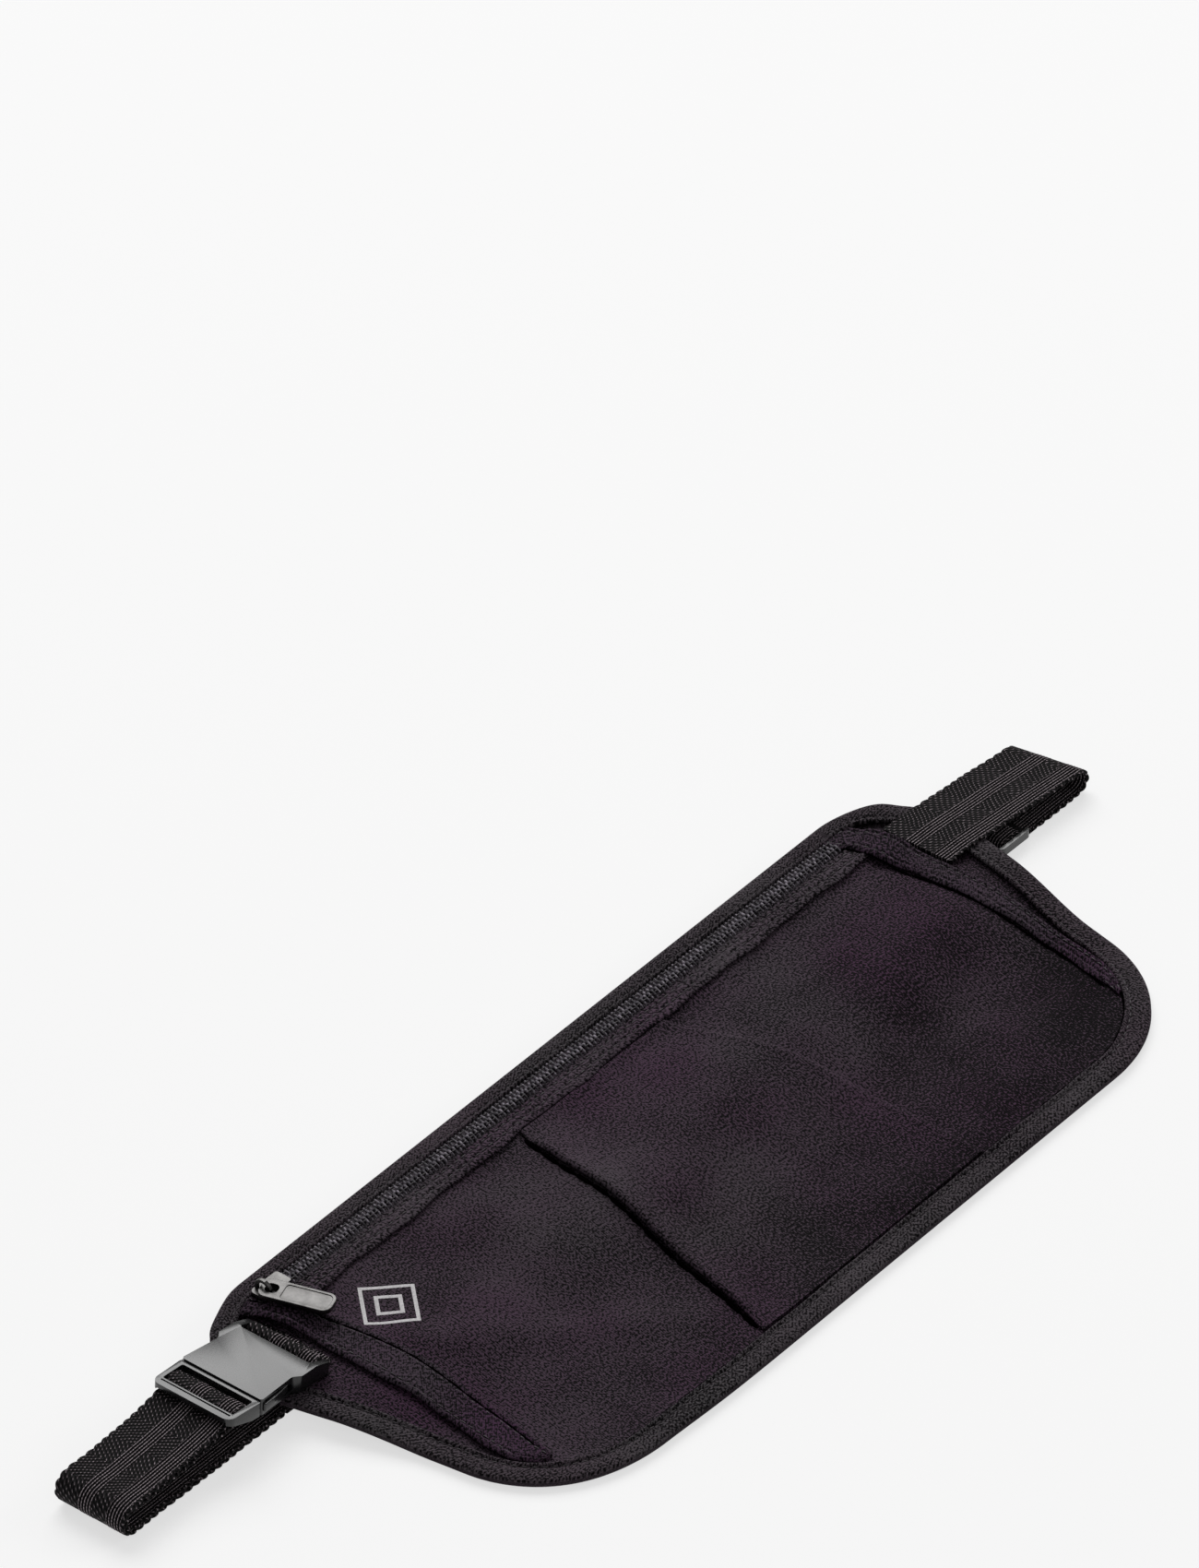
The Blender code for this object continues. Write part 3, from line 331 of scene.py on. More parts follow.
class Graph:
    """Short calls for building a node material."""

    def __init__(self, name, colour, roughness, metallic=0.0, **sockets):
        self.material = bpy.data.materials.new(name)
        self.material.use_nodes = True
        self.tree = self.material.node_tree
        self.shader = self.tree.nodes["Principled BSDF"]
        self.shader.inputs["Base Color"].default_value = (*colour, 1.0)
        self.shader.inputs["Roughness"].default_value = roughness
        self.shader.inputs["Metallic"].default_value = metallic
        for key, value in sockets.items():
            self.shader.inputs[key.replace("_", " ")].default_value = value
        self.material.diffuse_color = (*colour, 1.0)

    def node(self, kind, **settings):
        made = self.tree.nodes.new(kind)
        for key, value in settings.items():
            setattr(made, key, value)
        return made

    def put(self, socket, value):
        if isinstance(value, bpy.types.NodeSocket):
            self.tree.links.new(value, socket)
        else:
            socket.default_value = value

    def math(self, operation, a, b=0.0, c=0.0):
        made = self.node("ShaderNodeMath", operation=operation)
        for socket, value in zip(made.inputs, (a, b, c)):
            self.put(socket, value)
        return made.outputs[0]

    def add(self, a, b):
        return self.math("ADD", a, b)

    def sub(self, a, b):
        return self.math("SUBTRACT", a, b)

    def mul(self, a, b):
        return self.math("MULTIPLY", a, b)

    def weave_uv(self):
        """Millimetres along and across the piece."""
        split = self.node("ShaderNodeSeparateXYZ")
        self.put(split.inputs[0], self.node("ShaderNodeUVMap", uv_map="weave").outputs[0])
        return split.outputs[0], split.outputs[1]

    def place(self):
        return self.node("ShaderNodeTexCoord").outputs["Object"]

    def vector(self, x, y, z=0.0):
        made = self.node("ShaderNodeCombineXYZ")
        for socket, value in zip(made.inputs, (x, y, z)):
            self.put(socket, value)
        return made.outputs[0]

    def noise(self, vector, scale, detail=2.0, roughness=0.5):
        made = self.node("ShaderNodeTexNoise")
        self.put(made.inputs["Vector"], vector)
        made.inputs["Scale"].default_value = scale
        made.inputs["Detail"].default_value = detail
        made.inputs["Roughness"].default_value = roughness
        return made.outputs["Fac"]

    def stripes(self, u, v, along, across, pitch):
        """Sine from -1 to 1 of stripes that repeat every pitch in direction (along, across)."""
        turns = math.tau / pitch
        return self.math("SINE", self.add(self.mul(u, along * turns), self.mul(v, across * turns)))

    def ramp(self, value, stops):
        made = self.node("ShaderNodeValToRGB")
        self.put(made.inputs[0], value)
        while len(made.color_ramp.elements) < len(stops):
            made.color_ramp.elements.new(0.5)
        for element, (position, colour) in zip(made.color_ramp.elements, stops):
            element.position = position
            element.color = (*colour, 1.0)
        return made.outputs[0]

    def saturated(self, colour, amount):
        """Colour with its saturation multiplied by amount."""
        made = self.node("ShaderNodeHueSaturation")
        self.put(made.inputs["Saturation"], amount)
        self.put(made.inputs["Color"], colour)
        return made.outputs[0]

    def scale_to(self, value, low, high):
        made = self.node("ShaderNodeMapRange")
        self.put(made.inputs["Value"], value)
        made.inputs["To Min"].default_value = low
        made.inputs["To Max"].default_value = high
        return made.outputs[0]

    def bump(self, height, distance_mm, strength=1.0):
        made = self.node("ShaderNodeBump")
        made.inputs["Strength"].default_value = strength
        made.inputs["Distance"].default_value = distance_mm * MM
        self.put(made.inputs["Height"], height)
        return made.outputs[0]

    def finish(self, colour=None, roughness=None, normal=None):
        for name, value in (("Base Color", colour), ("Roughness", roughness), ("Normal", normal)):
            if value is not None:
                self.put(self.shader.inputs[name], value)
        return self.material


def twill(name, dark, light, pitch, along, across, relief=0.05, grain_size=0.8, painted_shade=0.0):
    """Twill cloth: fine ribs broken up by uneven yarns, with painted sheen in broad patches of more and less
    purple.

    Ribs repeat every pitch in direction (along, across); the last argument paints shade, making the cloth
    darker to the lower right where the light falls off.
    """
    g = Graph(name, light, 0.9, Sheen_Weight=0.1, Sheen_Roughness=0.35,
              Sheen_Tint=(0.8, 0.55, 0.76, 1.0), Specular_IOR_Level=0.08)
    u, v = g.weave_uv()
    wobble = g.mul(g.sub(g.noise(g.vector(u, v), 0.3), 0.5), 0.9)
    ribs = g.stripes(g.add(u, wobble), v, along, across, pitch)
    yarn = g.stripes(u, v, -across, along, pitch * 0.8)
    lengthwise = g.add(g.mul(u, along), g.mul(v, across))
    crosswise = g.add(g.mul(u, -across), g.mul(v, along))
    grain = g.noise(g.vector(g.mul(lengthwise, 1.3), crosswise), 1.0 / grain_size, 1.0, 0.5)
    grain = g.sub(grain, 0.5)
    height = g.add(g.mul(ribs, 0.45), g.mul(yarn, 0.15))
    height = g.add(height, g.mul(grain, 10.5))
    broad = g.sub(g.noise(g.vector(u, v), 0.03, 2.0), 0.5)
    tone = g.math("MULTIPLY_ADD", height, 0.6, 0.54)
    tone = g.add(tone, g.mul(broad, 1.6))
    # Painted shade: the cloth gets darker towards the lower right, where the light falls off.
    if painted_shade:
        shade_falloff = g.sub(g.mul(u, 0.0027), g.mul(v, 0.005))
        tone = g.sub(tone, g.mul(g.math("MAXIMUM", shade_falloff, -0.05), painted_shade))
    grey = sum(light) / 3.0
    middle = [0.42 * c + 0.08 * grey for c in light]
    colour = g.ramp(tone, [(0.0, dark), (0.5, middle), (1.0, light)])
    # Painted sheen: broad patches where the cloth is more or less purple, the way the nap's sheen makes it
    # look.
    sheen_patches = g.noise(g.vector(u, v, 31.0), 0.021, 2.0)
    colour = g.saturated(colour, g.math("MULTIPLY_ADD", sheen_patches, 2.2, -0.2))
    rough = g.scale_to(g.add(grain, 0.5), 0.7, 0.98)
    return g.finish(colour, rough, g.bump(height, relief, 0.8))


def webbing_material():
    """Webbing: herringbone bands and ribbed bands of glossy black yarn, as in the relief of the mesh, with
    painted highlights on the high yarns.
    """
    g = Graph("webbing_weave", (0.02, 0.018, 0.019), 0.45, Sheen_Weight=0.0, Specular_IOR_Level=0.1)
    u, v = g.weave_uv()
    wander = g.mul(g.sub(g.noise(g.vector(u, v), 0.12), 0.5), 2.0)
    zigzag = g.math("PINGPONG", g.add(u, wander), 9.0)
    chevron = g.stripes(zigzag, v, 0.8, 0.6, 1.12)
    threads = g.stripes(u, v, 0.25, 0.97, 0.97)
    herring = g.add(g.mul(chevron, 0.62), g.mul(threads, 0.4))
    herring = g.sub(herring, 0.06)
    cords = g.math("COSINE", g.mul(g.sub(v, RIB_BANDS[0]), math.tau / RIB_PITCH))
    twist = g.stripes(u, v, 0.95, 0.3, 0.9)
    ribs = g.add(g.mul(cords, 1.05), g.mul(twist, 0.16))
    mask = g.math("MAXIMUM", *(g.math("COMPARE", v, middle, RIB_BAND_HALF) for middle in RIB_BANDS))
    height = g.add(g.mul(ribs, mask), g.mul(herring, g.sub(1.0, mask)))
    grain = g.noise(g.vector(u, v), 1.5, 3.0, 0.75)
    height = g.add(height, g.mul(g.sub(grain, 0.5), 1.4))
    # Black yarn with its uneven grain, plus painted highlights: the higher the yarn, the lighter its colour,
    # standing in for the light its gloss catches.
    tone = g.math("MULTIPLY_ADD", height, 0.42, 0.45)
    colour = g.ramp(tone, [(0.0, (0.0003, 0.0002, 0.0003)), (0.5, (0.003, 0.0025, 0.0028)),
                           (0.74, (0.045, 0.036, 0.04)), (0.96, (0.5, 0.43, 0.46))])
    return g.finish(colour, g.scale_to(grain, 0.55, 0.8), g.bump(height, 0.2, 1.0))


def scaled(colour, factor, extra=0.0):
    """Colour made lighter or darker."""
    return tuple(c * factor + extra for c in colour)


def thread_material(name, colour, gloss=0.4):
    """Twisted thread, its plies lighter and darker."""
    g = Graph(name, colour, 0.55, Sheen_Weight=gloss / 2.0, Specular_IOR_Level=gloss)
    spin = g.noise(g.place(), 2400.0, 2.0)
    tone = g.ramp(spin, [(0.2, scaled(colour, 0.45)), (0.8, scaled(colour, 1.7))])
    return g.finish(tone, None, g.bump(spin, 0.06, 0.6))


def coil_material():
    """Dull nylon monofilament whose turns catch the light unevenly."""
    g = Graph("coil_nylon", (0.04, 0.036, 0.042), 0.62, Specular_IOR_Level=0.3)
    grain = g.noise(g.place(), 1000.0, 1.0)
    tone = g.ramp(grain, [(0.3, (0.014, 0.012, 0.015)), (0.5, (0.075, 0.066, 0.08)),
                          (0.7, (0.27, 0.24, 0.28))])
    return g.finish(tone, g.scale_to(grain, 0.7, 0.5), g.bump(grain, 0.05, 0.6))


def plastic_material(name, colour, roughness):
    """Moulded plastic: faint moulding grain, rubbed a little smoother and lighter in places."""
    g = Graph(name, colour, roughness, Specular_IOR_Level=0.5, Coat_Weight=0.12, Coat_Roughness=0.2)
    fine = g.noise(g.place(), 2600.0, 2.0)
    wear = g.noise(g.place(), 60.0, 4.0, 0.6)
    tone = g.ramp(wear, [(0.25, scaled(colour, 0.85)), (0.8, scaled(colour, 1.25, 0.004))])
    rough = g.add(g.mul(g.sub(wear, 0.5), 0.06), roughness)
    return g.finish(tone, rough, g.bump(fine, 0.0015, 0.15))


def metal_material():
    """Satin plated zinc with fine polishing marks and small scuffs."""
    g = Graph("satin_zinc", (0.09, 0.088, 0.086), 0.36, 1.0)
    split = g.node("ShaderNodeSeparateXYZ")
    g.put(split.inputs[0], g.place())
    brushed = g.noise(g.vector(g.mul(split.outputs[0], 9.0), split.outputs[1], split.outputs[2]),
                      700.0, 3.0, 0.6)
    scuff = g.noise(g.place(), 260.0, 4.0, 0.65)
    colour = g.ramp(scuff, [(0.2, (0.055, 0.053, 0.052)), (0.75, (0.115, 0.112, 0.11))])
    rough = g.add(g.mul(g.sub(brushed, 0.5), 0.22), 0.34)
    return g.finish(colour, rough, g.bump(brushed, 0.01, 0.35))


def print_material():
    """Pale screen print, thin in specks."""
    g = Graph("pale_print", (0.5, 0.48, 0.49), 0.55)
    speck = g.noise(g.place(), 1500.0, 3.0, 0.6)
    tone = g.ramp(speck, [(0.25, (0.3, 0.285, 0.295)), (0.6, (0.56, 0.54, 0.55))])
    return g.finish(tone, None, g.bump(speck, 0.03, 0.6))


HOLLOW = (0.0012, 0.0006, 0.0011)
# The pocket cloth gets painted shade towards its lower right.
cloth_mat = twill("pouch_twill", HOLLOW, (0.067, 0.042, 0.063), 0.62, 0.993, -0.117, painted_shade=1.2)
hem_mat = twill("hem_twill", HOLLOW, (0.062, 0.038, 0.06), 0.62, 0.75, 0.66, grain_size=0.9)
welt_mat = twill("welt_twill", HOLLOW, (0.085, 0.062, 0.081), 0.62, 0.75, 0.66, grain_size=0.9)
tape_mat = twill("binding_twill", HOLLOW, (0.076, 0.062, 0.072), 0.95, 0.636, 0.772, relief=0.1)
zip_tape_mat = twill("zip_tape_weave", (0.004, 0.003, 0.004), (0.17, 0.14, 0.165), 0.7, 0.7, 0.7, 0.08)
web_mat = webbing_material()
thread_mat = thread_material("sewing_thread", (0.032, 0.024, 0.03))
# Matte near-black thread for the painted shadow lines at folds and under the pocket's open edge.
shadow_line_mat = thread_material("painted_shadow_line", (0.0012, 0.0008, 0.0011), 0.0)
coil_mat = coil_material()
buckle_mat = plastic_material("buckle_acetal", (0.006, 0.006, 0.0065), 0.24)
adjuster_mat = plastic_material("adjuster_acetal", (0.01, 0.01, 0.01), 0.16)
metal_mat = metal_material()
print_mat = print_material()


# ---- pouch cloth

EDGE = HALF_HEIGHT - EDGE_INSET
FRONT_TOP, CENTRE_TOP, CENTRE_BOTTOM = 47.0, 44.3, -57.2
HEM_LAP = 0.8


def cloth_piece(name, ys, extents, columns, height, node, roll=None):
    """Sheet of cloth over rows of y; roll gives extra height across each row."""
    top = np.zeros((len(ys), columns, 3))
    share = np.linspace(0.0, 1.0, columns)
    for i, y in enumerate(ys):
        left, right = extents(y)
        x = left + (right - left) * share
        z = height(x, np.full(columns, y))
        if roll is not None:
            z = z + roll(x, y, left, right)
        top[i] = np.stack([x, np.full(columns, y), z + CLOTH], 1)
    points, faces, uvs = solid_sheet(top, top - (0.0, 0.0, CLOTH), top[..., :2])
    return add_mesh(name, points, faces, cloth_mat, "root", [node], uvs)


def back_extents(y):
    """Left and right end of a row of the back panel."""
    reach = half_width(y, EDGE_INSET)
    return -reach, reach


def front_extents(y):
    """Left and right end of a row of the pocket front, which ends under the hem bands."""
    reach = half_width(y, EDGE_INSET)
    left = float(curve_through(HEM_LEFT_OUTER, y)) + HEM_LAP
    right = float(curve_through(HEM_RIGHT_OUTER, y)) - HEM_LAP
    return max(-reach, left), min(reach, right)


def back_height(x, y):
    """Height of the back panel's underside, which is uneven where it shows beyond the hems."""
    ear = smooth((np.abs(x) - 128.0) / 6.0)
    return drape(x, y) + BACK_BASE + ear * (0.3 + 0.5 * ripple(x, y, 21)) * inner_mask(x, y, 6.0) * 0.8


def corner_rows(top_y, step):
    """Rows down to the lower edge that gather where the outline's corners turn."""
    ys = set(np.arange(top_y, -EDGE, -step).round(3))
    for a in np.linspace(0.0, math.pi / 2, 14):
        ys.add(round(HALF_HEIGHT - TOP_RADIUS + (TOP_RADIUS - EDGE_INSET) * math.sin(a), 3))
        ys.add(round(BOTTOM_RADIUS - HALF_HEIGHT - (BOTTOM_RADIUS - EDGE_INSET) * math.sin(a), 3))
    return sorted((y for y in ys | {top_y, -EDGE} if -EDGE <= y <= top_y), reverse=True)


back_cloth = cloth_piece("back_cloth", corner_rows(EDGE, 1.8), back_extents, 180, back_height, "back_panel")
front_cloth = cloth_piece("front_cloth", corner_rows(FRONT_TOP, 1.2), front_extents, 230, front_height,
                          "front_panel")

# Edges of the centre panel: x at each y.
CENTRE_LEFT = [(CENTRE_BOTTOM, -47.0), (-40.0, -43.2), (-20.0, -39.2), (0.0, -35.6), (20.0, -32.3),
               (CENTRE_TOP, -28.6)]
CENTRE_RIGHT = [(CENTRE_BOTTOM, 47.6), (-35.0, 47.6), (-12.0, 45.9), (9.5, 42.8), (28.0, 38.2),
                (CENTRE_TOP, 33.4)]


def centre_extents(y):
    return float(curve_through(CENTRE_LEFT, y)), float(curve_through(CENTRE_RIGHT, y))


def centre_height(x, y):
    return front_height(x, y) + CLOTH + 0.3


def centre_roll(x, y, left, right):
    """The open left edge stands up a little and rolls over; the right edge lies down in a soft fold."""
    mouth = smooth((44.0 - y) / 14.0) * smooth((y + 57.0) / 12.0)
    lift = (0.5 + 1.9 * mouth) * bell(x - left, 7.0)
    curl = -0.9 * bell(x - left, 0.55) * (0.4 + 0.6 * mouth)
    fold_down = -0.35 * bell(right - x, 0.6) + 0.25 * bell(right - 1.6 - x, 1.4)
    return lift + curl + fold_down


centre_cloth = cloth_piece("centre_cloth", np.arange(CENTRE_TOP, CENTRE_BOTTOM - 0.1, -1.0), centre_extents,
                           150, centre_height, "centre_panel", centre_roll)


# ---- binding

def outline_path(inset, step):
    """Points (x, y) with outward normals round the outline at an inset, evenly spaced."""
    right = []
    top_y, bottom_y = HALF_HEIGHT - TOP_RADIUS, BOTTOM_RADIUS - HALF_HEIGHT
    for radius, yc, first, last in ((TOP_RADIUS, top_y, math.pi / 2, -SLANT),
                                    (BOTTOM_RADIUS, bottom_y, -SLANT, -math.pi / 2)):
        xc = corner_centre(radius, yc)
        for a in np.linspace(first, last, 40):
            right.append((xc + (radius - inset) * math.cos(a), yc + (radius - inset) * math.sin(a)))
    left = [(-x, y) for x, y in reversed(right)]
    loop = np.array(right + left + right[:1])
    s = lengths_along(loop)
    at = np.linspace(0.0, s[-1], int(round(s[-1] / step)), endpoint=False)
    xy = np.stack([np.interp(at, s, loop[:, k]) for k in (0, 1)], 1)
    tangent = np.roll(xy, -1, 0) - np.roll(xy, 1, 0)
    tangent /= np.linalg.norm(tangent, axis=1)[:, None]
    normal = np.stack([-tangent[:, 1], tangent[:, 0]], 1)
    return xy, normal, at


# Section of the binding: inset from the outline and height, for its upper and its lower flange.
BINDING_TOP = [(0.35, -0.55), (0.05, -0.1), (0.25, 0.28), (0.9, 0.52), (1.9, 0.66), (3.2, 0.7), (4.4, 0.64),
               (5.1, 0.5), (5.5, 0.25), (5.8, 0.22), (6.1, 0.62), (6.55, 0.98), (7.0, 0.98), (7.35, 0.62),
               (7.3, -0.02), (4.5, 0.0), (1.4, 0.0)]
BINDING_LOW = [(0.75, 0.35), (1.4, 0.42), (4.5, 0.4), (7.1, 0.4), (7.2, 0.2), (7.1, 0.0), (6.3, 0.06),
               (5.0, 0.0), (2.5, 0.0), (1.0, 0.0), (0.3, 0.25), (0.0, 0.75)]
GROOVE_INSET = 5.75


def make_binding():
    """Tape folded over the pouch's edge, its inner edge a little wavy."""
    outer, normal, along = outline_path(0.0, 1.3)
    waver = 0.22 * np.sin(along / 9.0) + 0.16 * np.sin(along / 4.3 + 1.0) + 0.1 * np.sin(along / 2.1)
    rings = np.zeros((len(outer), len(BINDING_TOP) + len(BINDING_LOW), 3))
    uv = np.zeros((*rings.shape[:2], 2))
    for j, (inset, level) in enumerate(BINDING_TOP + BINDING_LOW):
        upper = j < len(BINDING_TOP)
        edge = smooth((inset - 3.0) / 3.5) * upper
        xy = outer + normal * (-inset + 0.35 * waver * edge)[:, None]
        x, y = xy[:, 0], xy[:, 1]
        base = flange_height(x, y) if upper else drape(x, y)
        puff = upper * 0.1 * np.sin(along / 5.7 + 0.6 * j) * smooth((level - 0.3) / 0.3)
        rings[:, j] = np.stack([x, y, base + level + puff], 1)
        uv[:, j] = np.stack([along, np.full(len(along), inset if upper else 16.0 - inset)], 1)
    return add_mesh("binding_tape", rings, sweep(rings), tape_mat, "root", ["edge_binding"],
                    uv, 60.0)


binding = make_binding()


# ---- stitches

def stitches(name, path, length=2.1, gap=0.7, width=0.36, rise=0.16, material=None):
    """Row of thread stitches, each a small rounded bridge lying on a path of (x, y, z) points."""
    path = np.asarray(path, float)
    s = lengths_along(path)
    section = [(math.cos(a), math.sin(a)) for a in np.linspace(0.0, math.tau, 6, endpoint=False)]
    arch = np.array([-0.3, 0.75, 1.0, 0.75, -0.3]) * rise
    size = np.array([0.45, 0.95, 1.0, 0.95, 0.45]) * width / 2.0
    points, faces = [], []
    for k in range(int(s[-1] // (length + gap))):
        at = np.linspace(0.0, 1.0, 5) * length + k * (length + gap)
        centre = np.stack([np.interp(at, s, path[:, c]) for c in range(3)], 1)
        lead = centre[-1] - centre[0]
        lead /= np.linalg.norm(lead)
        side = np.array([-lead[1], lead[0], 0.0])
        side /= np.linalg.norm(side)
        up = np.cross(lead, side)
        up *= np.sign(up[2])
        add_tube(points, faces, [[c + side * cu * r + up * (a + cv * r * 0.8) for cu, cv in section]
                                 for c, a, r in zip(centre, arch, size)])
    return add_mesh(name, points, faces, material or thread_mat, "root", sharp=80.0)


def lifted(xy, height, extra):
    """Points (x, y, z) lying extra above a height function."""
    xy = np.asarray(xy, float)
    return np.column_stack([xy, height(xy[:, 0], xy[:, 1]) + extra])


def shadow_line(name, path, width=0.8):
    """Painted shadow: a near-black line, built from long thread stitches, sunk where one layer folds over
    another.
    """
    return stitches(name, path, length=7.0, gap=0.05, width=width, rise=0.05, material=shadow_line_mat)


groove = outline_path(GROOVE_INSET, 1.0)[0]
stitches("stitch_binding", lifted(np.vstack([groove, groove[:1]]), flange_height, 0.25))
fold = outline_path(BINDING_WIDTH + 0.3, 1.0)[0]
fold = fold[(fold[:, 1] < 40.0) & (np.abs(fold[:, 0]) < 128.0)]
# Painted shadow line along the binding's inner fold, away from the zip and the ears.
shadow_line("shadow_line_binding", lifted(fold, flange_height, 0.12), 0.9)


# ---- welt, hems and their stitches

def make_band(name, edge, other, height, thickness, material, node, wave, dips):
    """Folded band between its rolled edge and its other edge, both (x, y) for each row.

    Each of dips is the place of a pressed line, from the rolled edge or, where negative, from the other.
    """
    span = np.linalg.norm(other - edge, axis=1)
    along = lengths_along(edge)
    share = np.concatenate([np.linspace(0.0, 0.16, 7), np.linspace(0.16, 1.0, 26)[1:]])
    top = np.zeros((len(edge), len(share), 3))
    bottom, uv = np.zeros_like(top), np.zeros((len(edge), len(share), 2))
    push = wave * (np.sin(along / 6.1) + 0.6 * np.sin(along / 2.9 + 2.0))
    for j, t in enumerate(share):
        xy = edge + (other - edge) * t
        away = (edge - other) / span[:, None]
        xy = xy + away * (push * (1.0 - t) ** 2)[:, None]
        offset = t * span
        round_off = np.sqrt(np.clip(1.0 - (1.0 - np.clip(offset / 1.1, 0, 1)) ** 2, 0, 1))
        lift = thickness * (0.5 + 0.5 * round_off) + 0.28 * bell(offset - 1.3, 0.9)
        for dip in dips:
            place = offset - dip if dip > 0.0 else offset - span - dip
            lift = lift - 0.32 * bell(place, 0.4) + 0.14 * bell(np.abs(place) - 1.0, 0.5)
        base = height(xy[:, 0], xy[:, 1])
        top[:, j] = np.column_stack([xy, base + lift])
        bottom[:, j] = np.column_stack([xy, base + thickness * 0.5 * (1.0 - round_off)])
        uv[:, j] = np.column_stack([along, offset])
    points, faces, uvs = solid_sheet(top, bottom, uv)
    return add_mesh(name, points, faces, material, "root", [node], uvs, 70.0)


WELT_X, WELT_Y, WELT_THICK, WELT_STITCH_Y = np.linspace(-125.6, 125.6, 320), (44.5, 50.9), 0.75, (47.1, 49.8)
HEM_Y, HEM_THICK = np.linspace(57.4, -44.5, 170), 0.7
STITCH_RISE = 0.62


def welt_height(x, y):
    return drape(x, y) + WELT_BASE


def welt_line(y):
    return np.column_stack([WELT_X, np.full(len(WELT_X), y)])


welt = make_band("zip_welt_fold", *map(welt_line, WELT_Y), welt_height, WELT_THICK, welt_mat, "zip_welt",
                 0.38, (2.6, 5.3))
for index, row_y in enumerate(WELT_STITCH_Y):
    stitches(f"stitch_welt_{index}", lifted(welt_line(row_y), welt_height, STITCH_RISE))


def make_hem(side_name, rolled, flat_edge, shadow_from, shadow_inset, shadow_rise):
    """Hem band with two rows of stitches and a painted shadow line at its inner fold."""
    band = make_band(f"hem_fold_{side_name}", rolled, flat_edge, hem_height, HEM_THICK, hem_mat,
                     f"hem_band_{side_name}", 0.4, (2.2, -1.5))
    across = flat_edge - rolled
    for index, share in enumerate((0.18, 0.8)):
        stitches(f"stitch_hem_{side_name}_{index}", lifted(rolled + across * share, hem_height, STITCH_RISE))
    # Painted shadow line in the groove at the band's inner fold.
    fold_line = shadow_from - across / np.linalg.norm(across, axis=1)[:, None] * shadow_inset
    shadow_line(f"shadow_line_hem_{side_name}", lifted(fold_line, hem_height, shadow_rise), 0.75)
    return band


def hem_edge(table):
    """Edge of a hem band, kept inside the binding."""
    x = curve_through(table, HEM_Y)
    reach = np.array([half_width(y, BINDING_WIDTH + 0.3) for y in HEM_Y])
    return np.column_stack([np.clip(x, -reach, reach), HEM_Y])


left_outer, left_inner = hem_edge(HEM_LEFT_OUTER), hem_edge(HEM_LEFT_INNER)
right_outer, right_inner = hem_edge(HEM_RIGHT_OUTER), hem_edge(HEM_RIGHT_INNER)
hem_pieces = [make_hem("left", left_outer, left_inner, left_inner, 1.5, 0.5),
              make_hem("right", right_inner, right_outer, right_inner, 0.3, 0.0)]

# Painted shadow under the centre panel's open left edge.
mouth_y = np.linspace(42.0, -55.0, 120)
mouth_x = curve_through(CENTRE_LEFT, mouth_y) - 0.5
shadow_line("shadow_line_mouth", lifted(np.column_stack([mouth_x, mouth_y]), centre_height, -0.1), 1.5)


# ---- zip

def zip_tape(name, side, node):
    """Tape of one side of the zip, from beside the coil to under the binding or the welt."""
    ys = np.linspace(ZIP_Y + side * 1.1, ZIP_Y + side * 7.3, 9)
    x, y = np.meshgrid(np.linspace(-125.8, 125.8, 200), ys, indexing="ij")
    top = np.stack([x, y, drape(x, y) + TAPE_BASE + CLOTH + 0.04 * np.sin(x / 3.7)], 2)
    points, faces, uvs = solid_sheet(top, top - (0.0, 0.0, CLOTH), np.stack([x, y], 2))
    return add_mesh(name, points, faces, zip_tape_mat, "root", [node], uvs)


zip_tape("zip_tape_rear", 1.0, "zip_tape_upper")
zip_tape("zip_tape_front", -1.0, "zip_tape_lower")

COIL_PITCH, COIL_LEFT, COIL_RIGHT, COIL_LEAN = 1.55, -123.6, 120.9, 0.22
COIL_LOW = PLATEAU + COIL_BASE
# Stations along a turn: distance from the zip's middle, height above COIL_LOW, half width, half height.
COIL_TURN = [(-0.25, 0.6, 0.34, 0.3), (0.1, 0.74, 0.52, 0.42), (0.7, 0.76, 0.46, 0.46),
             (1.7, 0.7, 0.34, 0.46), (2.5, 0.58, 0.34, 0.42), (2.85, 0.3, 0.3, 0.25)]


def make_coil(name, side, node):
    """Coil turn by turn: each is a rounded bar with a thicker head at the middle of the zip."""
    shift = 0.0 if side > 0 else COIL_PITCH / 2.0
    angles = np.linspace(0.0, math.tau, 8, endpoint=False)
    points, faces = [], []
    for x in np.arange(COIL_LEFT + shift, COIL_RIGHT, COIL_PITCH):
        rings = []
        for offset, z, half_x, half_z in COIL_TURN:
            middle = x + COIL_LEAN * side * offset
            rings.append([(middle + half_x * math.cos(a), ZIP_Y + side * offset,
                           COIL_LOW + z + half_z * math.sin(a)) for a in angles])
        add_tube(points, faces, rings)
    return add_mesh(name, points, faces, coil_mat, "root", [node], None, 70.0)


make_coil("coil_rear", 1.0, "zip_coil_upper")
make_coil("coil_front", -1.0, "zip_coil_lower")
coil_x = np.linspace(-124.5, 121.5, 300)
for index, row_y in enumerate((ZIP_Y + 1.6, ZIP_Y - 1.6, ZIP_Y + 3.25, ZIP_Y - 3.25)):
    z = COIL_LOW + (1.2 if index < 2 else -0.15)
    path = np.column_stack([coil_x, np.full(300, row_y), np.full(300, z)])
    stitches(f"stitch_coil_{index}", path, length=1.9, gap=0.58, width=0.34, rise=0.12)


# ---- webbing

def ribbed(v):
    """Relief of the webbing's ribbed bands, in millimetres, across its width."""
    inside = np.any([np.abs(v - middle) < RIB_BAND_HALF for middle in RIB_BANDS], axis=0)
    return np.where(inside, 0.13 * np.cos(math.tau * (v - RIB_BANDS[0]) / RIB_PITCH), 0.03)


